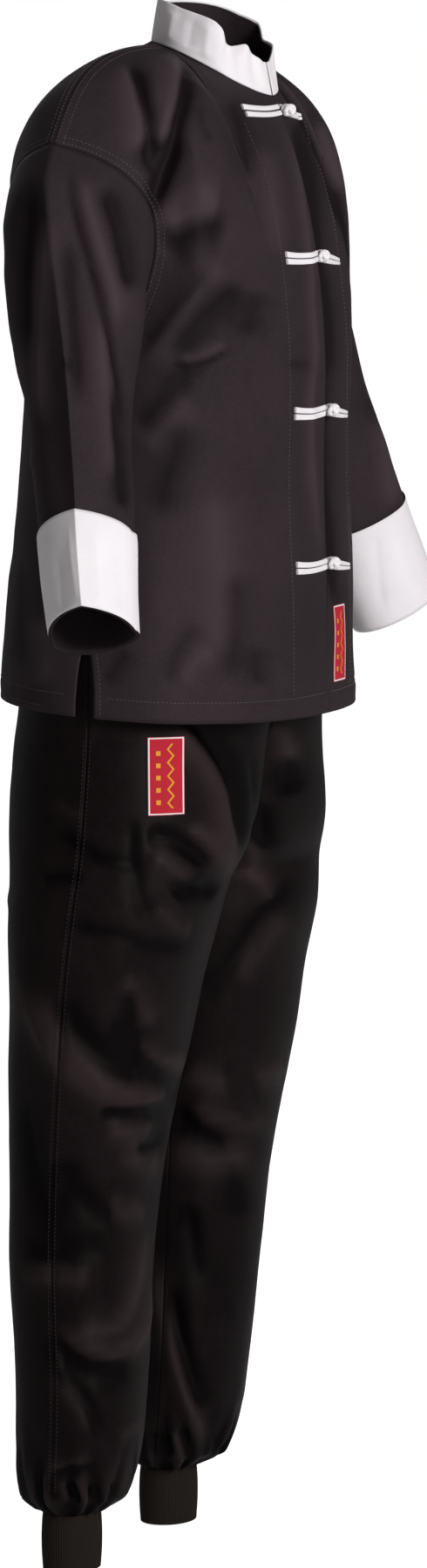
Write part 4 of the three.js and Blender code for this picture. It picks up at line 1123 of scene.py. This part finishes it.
def edge_distance(mesh, points, keep=lambda point: True):
    """How far each point lies from those open edges whose points are kept."""
    rim = [index for index in {index for key in open_edges(mesh) for index in key} if keep(points[index])]
    tree = KDTree(len(rim))
    for place, index in enumerate(rim):
        tree.insert(points[index], place)
    tree.balance()
    return np.array([tree.find(point)[2] for point in points])


def crumple(points, size, depth, seed):
    """Small soft unevenness of cloth."""
    return depth * noise_at(points / size + seed * np.array([3.1, 1.7, 2.3]))


def hem_relief(mesh, points):
    """The thickness of the turned hem, the groove of its stitching and the puckers along it."""
    gap = edge_distance(mesh, points, at_hem)
    band = smooth((HEM_DEPTH + HEM_EDGE - gap) / (2 * HEM_EDGE))
    groove = np.exp(-(((gap - HEM_DEPTH) / GROOVE_WIDTH) ** 2))
    pucker = noise_at(points / PUCKER_SIZE)
    relief = HEM_HEIGHT * band - PUCKER_DEPTH * groove * (1 + pucker)
    return relief + PUCKER_DEPTH * pucker * np.exp(-((gap / PUCKER_REACH) ** 2))


def weave_map(mesh, axis, side):
    """A UV map in metres: across round the cloth's turning line, and along it."""
    top = Vector(axis["top"])
    bottom = Vector(axis["bottom"])
    if side == "right":
        top.x, bottom.x = -top.x, -bottom.x
    run = bottom - top
    points = vertex_rows(mesh, "co")
    share = (points[:, 2] - top.z) / run.z
    middle = np.array(top)[None, :] + share[:, None] * np.array(run)[None, :]
    angle = np.arctan2(points[:, 0] - middle[:, 0], -(points[:, 1] - middle[:, 1]))
    layer = mesh.uv_layers.new(name="weave")
    stretch = run.length / abs(run.z)
    for polygon in mesh.polygons:
        first = angle[polygon.vertices[0]]
        for loop in polygon.loop_indices:
            vertex = mesh.loops[loop].vertex_index
            turn = (angle[vertex] - first + math.pi) % (2 * math.pi) - math.pi + first
            layer.data[loop].uv = (turn * axis["radius"], points[vertex, 2] * stretch)


def sewn_cloth(name, facts, axis, material, thickness, levels=None, hemmed=False, bend=None):
    """One cut piece of cloth: the CAD wall's outer side, finer, with its folds, hem and crumples."""
    mesh = refined(outer_side(facts["node"]), levels or uniform_settings().sizes.panel_levels)
    if bend:
        put_points(mesh, bend(vertex_rows(mesh, "co")))
    points = vertex_rows(mesh, "co")
    normals = vertex_rows(mesh, "normal")
    calm = smooth(edge_distance(mesh, points) / SEAM_FADE)
    relief = fold_relief(points, normals, facts["folds"])
    if axis == "leg":
        relief += gathers(points)
    # Painted shade and highlight: the folds' full depth, before it is calmed near the edges, darkens the
    # troughs and lightens the ridges of the cloth's colour.
    painted_shading = mesh.attributes.new("fold", "FLOAT", "POINT")
    painted_shading.data.foreach_set("value", np.clip(relief / FOLD_SHADE_DEPTH, -1, 1))
    relief *= calm
    seed = len(name) + sum(ord(letter) for letter in name) % 17
    relief += crumple(points, *BROAD_CRUMPLE, seed) * calm
    relief += crumple(points, *FINE_CRUMPLE, seed + FINE_SEED_STEP) * calm
    if hemmed:
        relief += hem_relief(mesh, points)
    put_points(mesh, points + normals * relief[:, None])
    mesh.set_sharp_from_angle(angle=SHARP_ANGLE)
    weave_map(mesh, WEAVE_AXES[axis], side_of(name))
    piece = place_piece(name, mesh, material, [facts["node"]])
    thicken(piece, thickness)
    return piece


# Stitching


def edge_run(mesh, keep):
    """The points along one stretch of a cloth's open edge, in order."""
    linked = {}
    for a, b in open_edges(mesh):
        if keep(mesh.vertices[a].co) and keep(mesh.vertices[b].co):
            linked.setdefault(a, []).append(b)
            linked.setdefault(b, []).append(a)
    ends = [index for index, others in linked.items() if len(others) == 1]
    order = [min(ends or linked, key=lambda index: mesh.vertices[index].co.z)]
    while True:
        ahead = [index for index in linked[order[-1]] if index not in order]
        if not ahead:
            break
        order.append(ahead[0])
    return [mesh.vertices[index].co.copy() for index in order]


def named_run(mesh, stretch, sign):
    """The points along one of the stitched stretches, on one side of the wearer."""

    def inside(point):
        values = {"across": point.x * sign, "deep": point.y, "high": point.z}
        return all(low < values[name] < high for name, (low, high) in stretch.items())

    return edge_run(mesh, inside)


def evenly(points, pitch):
    """Points at an even pitch along a line, each with its direction."""
    result = []
    carried = 0.0
    for start, end in zip(points, points[1:]):
        length = (end - start).length
        if length == 0:
            continue
        direction = (end - start) / length
        while carried < length:
            result.append((start + direction * carried, direction))
            carried += pitch
        carried -= length
    return result


def inset_line(surface, line, inset):
    """A line on the cloth at an even distance in from its edge."""
    result = []
    for index, point in enumerate(line):
        ahead = line[min(index + 1, len(line) - 1)]
        behind = line[max(index - 1, 0)]
        found = surface.find_nearest(point)
        inward = found[1].cross((ahead - behind).normalized())
        for sign in (1, -1):
            guess = surface.find_nearest(point + inward * inset * sign)
            if (guess[0] - point).length > inset * INSET_REACHED:
                result.append(guess[0])
                break
    return result


def trimmed(line, length):
    """A line without the stretches near its two ends."""
    ends = (line[0], line[-1])
    return [point for point in line if min((point - end).length for end in ends) > length]


def sew(bm, surface, line):
    """Lays stitches along a line: each a small bar that narrows upwards, half sunk in the cloth."""
    for point, direction in evenly(line, STITCH_PITCH):
        found = surface.find_nearest(point)
        up = found[1].normalized()
        along = (direction - up * direction.dot(up)).normalized()
        across = up.cross(along)
        for vertex in bmesh.ops.create_cube(bm, size=1.0)["verts"]:
            corner = vertex.co.copy()
            narrow = THREAD_TAPER if corner.z > 0 else 1.0
            vertex.co = (
                found[0]
                + along * corner.x * STITCH_LENGTH * narrow
                + across * corner.y * THREAD_WIDTH * narrow
                + up * corner.z * THREAD_HEIGHT * 2
            )


def stitched_piece(cloth, lines, thread):
    """All the stitching of a piece of cloth, as one piece of thread."""
    bm = bmesh.new()
    surface = surface_of(cloth.data)
    for line in lines(cloth.data, surface):
        sew(bm, surface, line)
    name = f"stitching_{cloth.name}"
    return place_piece(name, mesh_of(name, bm), thread, [])


def sides_of(mesh):
    """The sides of the wearer that a panel lies on: 1 for the left, -1 for the right."""
    across = vertex_rows(mesh, "co")[:, 0]
    return [sign for sign in (1, -1) if (across * sign).max() > PANEL_REACH]


def body_lines(mesh, surface):
    """Shoulder, armhole, side slit, hem and front facing lines of a jacket front or back."""
    lines = []
    sides = sides_of(mesh)
    for sign in sides:
        for stretch in (ARMHOLE_EDGE, SHOULDER_EDGE):
            run = named_run(mesh, stretch, sign)
            lines.extend(inset_line(surface, run, inset) for inset in SEAM_ROWS)
        lines.append(inset_line(surface, named_run(mesh, SLIT_EDGE, sign), SLIT_ROW))
    hem = trimmed(edge_run(mesh, at_hem), HEM_LINE_END)
    lines.append(inset_line(surface, hem, HEM_DEPTH))
    if len(sides) == 1:
        heights = [FACING_TOP - step * FACING_STEP for step in range(FACING_STEPS)]
        facing = [front_of(surface, sides[0] * FACING_LINE, height)[0] for height in heights]
        lines.append([place for place in facing if place is not None])
    return lines


def leg_lines(mesh, surface):
    """The double line along the rise at the front or back, and one beside the side seam."""
    sign = sides_of(mesh)[0]
    rise = named_run(mesh, RISE_EDGE, sign)
    lines = [inset_line(surface, rise, inset) for inset in RISE_ROWS]
    lines.append(inset_line(surface, named_run(mesh, SIDE_EDGE, sign), SIDE_ROW))
    return lines


# Frogs


def cord_mesh(line, radius):
    """A round cord along a closed line of points."""
    curve = bpy.data.curves.new("cord", "CURVE")
    curve.dimensions = "3D"
    curve.bevel_depth = radius
    curve.bevel_resolution = 3
    spline = curve.splines.new("POLY")
    spline.points.add(len(line) - 1)
    for entry, point in zip(spline.points, line):
        entry.co = (*point, 1.0)
    spline.use_cyclic_u = True
    return evaluated_mesh(add_object("cord", curve))


def loft(segments, places):
    """A tube through rings: each place turns the points of a unit circle into points in space."""
    bm = bmesh.new()
    rings = [bmesh.ops.create_circle(bm, segments=segments, radius=1.0)["verts"]]
    for _ in places[1:]:
        last = set(rings[-1])
        edges = [edge for edge in bm.edges if edge.verts[0] in last and edge.verts[1] in last]
        grown = bmesh.ops.extrude_edge_only(bm, edges=edges)["geom"]
        rings.append([item for item in grown if isinstance(item, bmesh.types.BMVert)])
    for place, ring in zip(places, rings):
        for vertex in ring:
            vertex.co = place(vertex.co.copy())
    return bm


def strip_ring(centre, outward, upward, tall, point):
    """Where a unit circle's point lies on a flat strip's rounded oblong section."""
    over = math.copysign(math.sqrt(abs(point.x)), point.x)
    along = math.copysign(math.sqrt(abs(point.y)), point.y)
    return centre + outward * over * STRIP_HALF_THICKNESS + upward * along * tall


def strip_places(surface, side, level, lay):
    """The rings of one of a half frog's two flat strips, from its outer end to the front edge."""
    sign = 1 if side == "left" else -1
    places = []
    for step in range(FROG_STEPS):
        outer = 1 - step / (FROG_STEPS - 1)
        reach = FROG_START + (FROG_REACH - FROG_START) * outer
        height = level - FROG_SAG * math.sin(math.pi * outer)
        size = 1 + STRIP_FLARE * outer ** 3
        if side == "left":
            height -= FROG_DROOP * outer ** 1.5
            size *= 1 - FROG_POINT * outer ** 2
        found, normal = front_of(surface, sign * reach, height + lay * STRIP_SPACING * size)
        if found is None:
            raise RuntimeError(f"no cloth under the {side} frog at {level}")
        outward = normal.normalized()
        upward = (Vector((0, 0, 1)) - outward * outward.z).normalized()
        centre = found + outward * STRIP_HALF_THICKNESS
        places.append(partial(strip_ring, centre, outward, upward, STRIP_HALF_HEIGHT * size))
    return places


def knot_line(centre):
    """The cord of a ball knot: a turk's head wound round a ball."""
    line = []
    for step in range(KNOT_STEPS):
        turn = 2 * math.pi * KNOT_LEADS * step / KNOT_STEPS
        tilt = KNOT_TILT * math.sin(KNOT_BIGHTS * turn / KNOT_LEADS)
        radius = KNOT_RADIUS * (1 + KNOT_WEAVE * math.cos(2 * KNOT_BIGHTS * turn / KNOT_LEADS))
        ring = radius * math.cos(tilt)
        offset = (ring * math.cos(turn), ring * math.sin(turn) * KNOT_FLATNESS, radius * math.sin(tilt))
        line.append(centre + Vector(offset))
    return line


# Sizes and colours that may be changed


def length_property(name, description, default):
    return FloatProperty(name=name, description=description, default=default, unit="LENGTH")


def colour_property(name, description, default):
    return FloatVectorProperty(
        name=name, description=description, default=default, subtype="COLOR", min=0, max=1
    )


def power_property(name, description, default):
    return FloatProperty(name=name, description=description, default=default, unit="POWER")


class ClothSizes(bpy.types.PropertyGroup):
    """How finely the cloth is made, and how thick it is."""

    panel_levels: IntProperty(
        name="Panel fineness", description="Subdivisions of a panel", default=3, min=1, max=3
    )
    drill_thickness: length_property("Drill thickness", "Thickness of the black drill", 1.5 * MM)
    cuff_thickness: length_property("Cuff thickness", "Thickness of a turned cuff", 1.4 * MM)
    knit_thickness: length_property("Knit thickness", "Thickness of the ankle ribs", 2.0 * MM)


class ClothFinishes(bpy.types.PropertyGroup):
    """Colours of the uniform's cloths."""

    # Each drill's plain colour is also its painted shade in the troughs of its folds, and its worn colour is
    # also its painted highlight on their ridges.
    jacket: colour_property("Jacket", "Jacket drill", (0.0085, 0.0060, 0.0071))
    jacket_worn_and_highlight: colour_property("Jacket, worn", "Raised threads of the drill", (0.0500, 0.0370, 0.0425))
    trousers: colour_property("Trousers", "Trouser drill", (0.0013, 0.0009, 0.0012))
    trousers_worn_and_highlight: colour_property("Trousers, worn", "Raised threads of the drill", (0.0270, 0.0185, 0.0190))
    cotton: colour_property("White cotton", "Collar, cuffs and frogs", (0.93, 0.885, 0.905))
    # The shaded white is painted shade in the troughs of the cotton's folds, and the darker end of its random
    # clouds and of the cords' twist.
    cotton_shade: colour_property("White cotton, shaded", "Hollows of the white cotton", (0.82, 0.775, 0.805))
    knit: colour_property("Knit", "Ankle ribs", (0.0080, 0.0058, 0.0048))
    knit_worn: colour_property("Knit, worn", "Raised wales of the ankle ribs", (0.0280, 0.0210, 0.0180))
    label: colour_property("Label", "Ground of the woven labels", (0.62, 0.018, 0.040))
    label_mark: colour_property("Label marks", "Plain bars and zigzag on the labels", (0.80, 0.36, 0.03))
    thread: colour_property("Thread", "Sewing thread", (0.060, 0.048, 0.053))
    thread_worn: colour_property("Thread, lit", "Worn sides of the thread", (0.15, 0.125, 0.135))
    leg_thread: colour_property("Trouser thread", "Sewing thread of the trousers", (0.010, 0.0075, 0.0085))
    floor: colour_property("Floor", "Studio floor", (0.9, 0.9, 0.9))


class StudioLights(bpy.types.PropertyGroup):
    """Strengths of the studio lights."""

    key: power_property("Key", "Large light in front of the wearer", 200)
    fill: power_property("Fill", "Soft light beside the camera", 8)
    rim: power_property("Rim", "Light from behind the wearer", 10)
    world: FloatProperty(name="Surround", description="Brightness of the white surround", default=0.14)
    backdrop: FloatProperty(name="Backdrop", description="Brightness of the white seen behind", default=1.0)


class UniformSettings(bpy.types.PropertyGroup):
    """Everything that may be changed."""

    sizes: PointerProperty(type=ClothSizes, name="Sizes", description="Cloth sizes")
    finishes: PointerProperty(type=ClothFinishes, name="Finishes", description="Cloth colours")
    lights: PointerProperty(type=StudioLights, name="Lights", description="Light strengths")


# Operators


class UNIFORM_OT_stage(bpy.types.Operator):
    """Sets the floor, the soft lights and the camera"""

    bl_idname = "uniform.stage"
    bl_label = "Set the stage"

    def execute(self, context):
        self.floor()
        self.lights(uniform_settings().lights)
        self.camera(context)
        return {"FINISHED"}

    def floor(self):
        bm = bmesh.new()
        bmesh.ops.create_grid(bm, x_segments=1, y_segments=1, size=FLOOR_HALF_SIDE)
        bmesh.ops.translate(bm, verts=bm.verts, vec=(0, 0, CAD_BOX[0][2] - FLOOR_GAP))
        mesh = mesh_of("floor", bm)
        mesh.materials.append(finish_named("floor"))
        add_object("floor", mesh)

    def lights(self, lights):
        world = bpy.data.worlds.new("surround")
        world.use_nodes = True
        tree = world.node_tree
        background = tree.nodes["Background"]
        background.inputs["Color"].default_value = (1, 1, 1, 1)
        seen = Wire(tree, tree.nodes.new("ShaderNodeLightPath").outputs["Is Camera Ray"])
        join(tree, background.inputs["Strength"], seen * (lights.backdrop - lights.world) + lights.world)
        bpy.context.scene.world = world
        bpy.context.scene.view_settings.view_transform = "Standard"
        for name, (place, target, width) in LIGHT_PLACES.items():
            data = bpy.data.lights.new(name, "AREA")
            data.shape = "RECTANGLE"
            data.size = width
            data.size_y = width * 1.5
            data.energy = getattr(lights, name)
            self.stand(add_object(name, data), Vector(place), Vector(target))

    def camera(self, context):
        data = bpy.data.cameras.new("camera")
        data.lens = CAMERA_LENS
        data.sensor_fit = "VERTICAL"
        data.sensor_height = SENSOR_HEIGHT
        data.sensor_width = SENSOR_HEIGHT
        data.clip_end = 100
        context.scene.camera = add_object("camera", data)
        self.stand(context.scene.camera, CAMERA_PLACE, CAMERA_TARGET)

    def stand(self, thing, place, target):
        """Puts a light or the camera at a place, turned to its target."""
        thing.location = place
        thing.rotation_euler = (target - place).to_track_quat("-Z", "Y").to_euler()


class UNIFORM_OT_jacket(bpy.types.Operator):
    """Sews the jacket's fronts and back, with their hems, facings and seam stitching"""

    bl_idname = "uniform.jacket"
    bl_label = "Sew the jacket body"

    def execute(self, context):
        thickness = uniform_settings().sizes.drill_thickness
        pieces = {
            name: sewn_cloth(name, facts, "body", "jacket drill", thickness, hemmed=True)
            for name, facts in JACKET.items()
        }
        for name, facts in JACKET.items():
            stitches = stitched_piece(pieces[name], body_lines, "black thread")
            declare(pieces[name], facts)
        return {"FINISHED"}


class UNIFORM_OT_sleeves(bpy.types.Operator):
    """Sews both sleeves and their turned white cuffs"""

    bl_idname = "uniform.sleeves"
    bl_label = "Sew the sleeves and cuffs"

    def execute(self, context):
        sizes = uniform_settings().sizes
        for name, facts in SLEEVES.items():
            bend = partial(mouth_bend, side=side_of(name))
            piece = sewn_cloth(name, facts, "sleeve", "jacket drill", sizes.drill_thickness, bend=bend)
            declare(piece, facts)
        for name, facts in CUFFS.items():
            side = side_of(name)
            bend = partial(mouth_bend, side=side)
            piece = sewn_cloth(name, facts, "sleeve", "white cotton", sizes.cuff_thickness, bend=bend)
            line_with(piece, "jacket drill")
            declare(piece, facts, rests_on=[f"cloth_sleeve_{side}"])
        return {"FINISHED"}


class UNIFORM_OT_collar(bpy.types.Operator):
    """Sews the white stand collar and the black facing inside it"""

    bl_idname = "uniform.collar"
    bl_label = "Sew the collar"

    def execute(self, context):
        for name, facts in COLLARS.items():
            piece = sewn_cloth(name, facts, "body", facts["cloth"], facts["thickness"], bend=collar_bend)
            declare(piece, facts, rests_on=facts["rests_on"])
        return {"FINISHED"}


class UNIFORM_OT_frogs(bpy.types.Operator):
    """Ties the four frog fastenings of doubled cord, each with its ball knot"""

    bl_idname = "uniform.frogs"
    bl_label = "Tie the frogs"

    def execute(self, context):
        for side in ("right", "left"):
            surface = surface_of(bpy.data.objects[f"cloth_front_{side}"].data)
            for number, level in enumerate(FROG_LEVELS, start=1):
                self.tie(surface, side, number, level)
        return {"FINISHED"}

    def tie(self, surface, side, number, level):
        bm = bmesh.new()
        for lay in (-1, 1):
            strip = loft(STRIP_SEGMENTS, strip_places(surface, side, level, lay))
            bmesh.ops.holes_fill(strip, edges=strip.edges)
            bm.from_mesh(mesh_of("strip", strip))
        if side == "left":
            found, _ = front_of(surface, KNOT_PLACE, level)
            if found is None:
                raise RuntimeError(f"no cloth under the knot of frog {number}")
            bm.from_mesh(cord_mesh(knot_line(found - Vector((0, KNOT_LIFT, 0))), KNOT_CORD))
        bmesh.ops.recalc_face_normals(bm, faces=bm.faces)
        name = f"frog_{number}_{side}"
        place_piece(f"cord_{name}", mesh_of("frog", bm), "white cord", [name])


class UNIFORM_OT_trousers(bpy.types.Operator):
    """Sews the four trouser panels and the waistband"""

    bl_idname = "uniform.trousers"
    bl_label = "Sew the trousers"

    def execute(self, context):
        thickness = uniform_settings().sizes.drill_thickness
        for name, facts in LEGS.items():
            piece = sewn_cloth(name, facts, "leg", "trouser drill", thickness)
            stitches = stitched_piece(piece, leg_lines, "trouser thread")
            declare(piece, facts)
        piece = sewn_cloth("cloth_waistband", WAISTBAND, "body", "trouser drill", thickness, WAISTBAND_LEVELS)
        declare(piece, WAISTBAND, rests_on=["cloth_leg_front_right", "cloth_leg_front_left"])
        return {"FINISHED"}


class UNIFORM_OT_ribs(bpy.types.Operator):
    """Knits the two ankle ribs"""

    bl_idname = "uniform.ribs"
    bl_label = "Knit the ankle ribs"

    def execute(self, context):
        for name, facts in RIBS.items():
            self.knit(name, facts)
        return {"FINISHED"}

    def knit(self, name, facts):
        across, deep = facts["centre"]

        def ring(height, swell):
            wide = RIB_HALF_WIDTH + swell * MM
            far = RIB_HALF_DEPTH + swell * MM
            return lambda point: Vector((across + point.x * wide, deep + point.y * far, height))

        bm = loft(RIB_SEGMENTS, [ring(*section) for section in RIB_SECTIONS])
        bmesh.ops.recalc_face_normals(bm, faces=bm.faces)
        mesh = refined(bm, RIB_LEVELS)
        axis = dict(top=(across, deep, 0.0), bottom=(across, deep, -1.0), radius=RIB_WEAVE_RADIUS)
        weave_map(mesh, axis, "left")
        piece = place_piece(name, mesh, "black knit", [facts["node"]])
        thicken(piece, uniform_settings().sizes.knit_thickness)
        "cloth_leg_front_" + side_of(name)


class UNIFORM_OT_labels(bpy.types.Operator):
    """Sews on the two small woven labels"""

    bl_idname = "uniform.labels"
    bl_label = "Sew on the labels"

    def execute(self, context):
        for name, facts in LABELS.items():
            self.label(name, facts)
        return {"FINISHED"}

    def label(self, name, facts):
        mesh = refined(outer_side(facts["node"]), LABEL_LEVELS)
        surface = surface_of(bpy.data.objects[facts["on"]].data)
        eye = math.radians(facts["turn"])
        outward = Vector((math.sin(eye), -math.cos(eye), 0))
        across = Vector((math.cos(eye), math.sin(eye), 0))
        layer = mesh.uv_layers.new(name="weave")
        for loop in mesh.loops:
            offset = mesh.vertices[loop.vertex_index].co - Vector(facts["centre"])
            layer.data[loop.index].uv = (offset.dot(across), offset.z)
        for vertex in mesh.vertices:
            found = surface.ray_cast(vertex.co + outward * LABEL_PROBE_START, -outward)
            if found[0] is not None:
                vertex.co = found[0] + outward * LABEL_LIFT
        mesh.update()
        piece = place_piece(name, mesh, "red woven", [facts["node"]])
        thicken(piece, LABEL_THICKNESS)


class UNIFORM_PT_panel(bpy.types.Panel):
    """Lists the uniform's steps and what may be changed"""

    bl_idname = "UNIFORM_PT_panel"
    bl_label = "Tai chi uniform"
    bl_space_type = "VIEW_3D"
    bl_region_type = "UI"
    bl_category = "Uniform"

    def draw(self, context):
        layout = self.layout
        for operator in OPERATORS:
            layout.operator(operator.bl_idname)
        settings = context.scene.uniform
        for group in (settings.sizes, settings.finishes, settings.lights):
            for name in group.__annotations__:
                layout.prop(group, name)


OPERATORS = (
    UNIFORM_OT_stage,
    UNIFORM_OT_jacket,
    UNIFORM_OT_sleeves,
    UNIFORM_OT_collar,
    UNIFORM_OT_frogs,
    UNIFORM_OT_trousers,
    UNIFORM_OT_ribs,
    UNIFORM_OT_labels,
)
CLASSES = (ClothSizes, ClothFinishes, StudioLights, UniformSettings, *OPERATORS, UNIFORM_PT_panel)


def register():
    for entry in CLASSES:
        bpy.utils.register_class(entry)
    bpy.types.Scene.uniform = PointerProperty(type=UniformSettings)


def unregister():
    del bpy.types.Scene.uniform
    for entry in reversed(CLASSES):
        bpy.utils.unregister_class(entry)


def main():
    register()
    bpy.ops.uniform.stage()
    bpy.ops.uniform.jacket()
    bpy.ops.uniform.sleeves()
    bpy.ops.uniform.collar()
    bpy.ops.uniform.frogs()
    bpy.ops.uniform.trousers()
    bpy.ops.uniform.ribs()
    bpy.ops.uniform.labels()


if __name__ == "__main__":
    main()
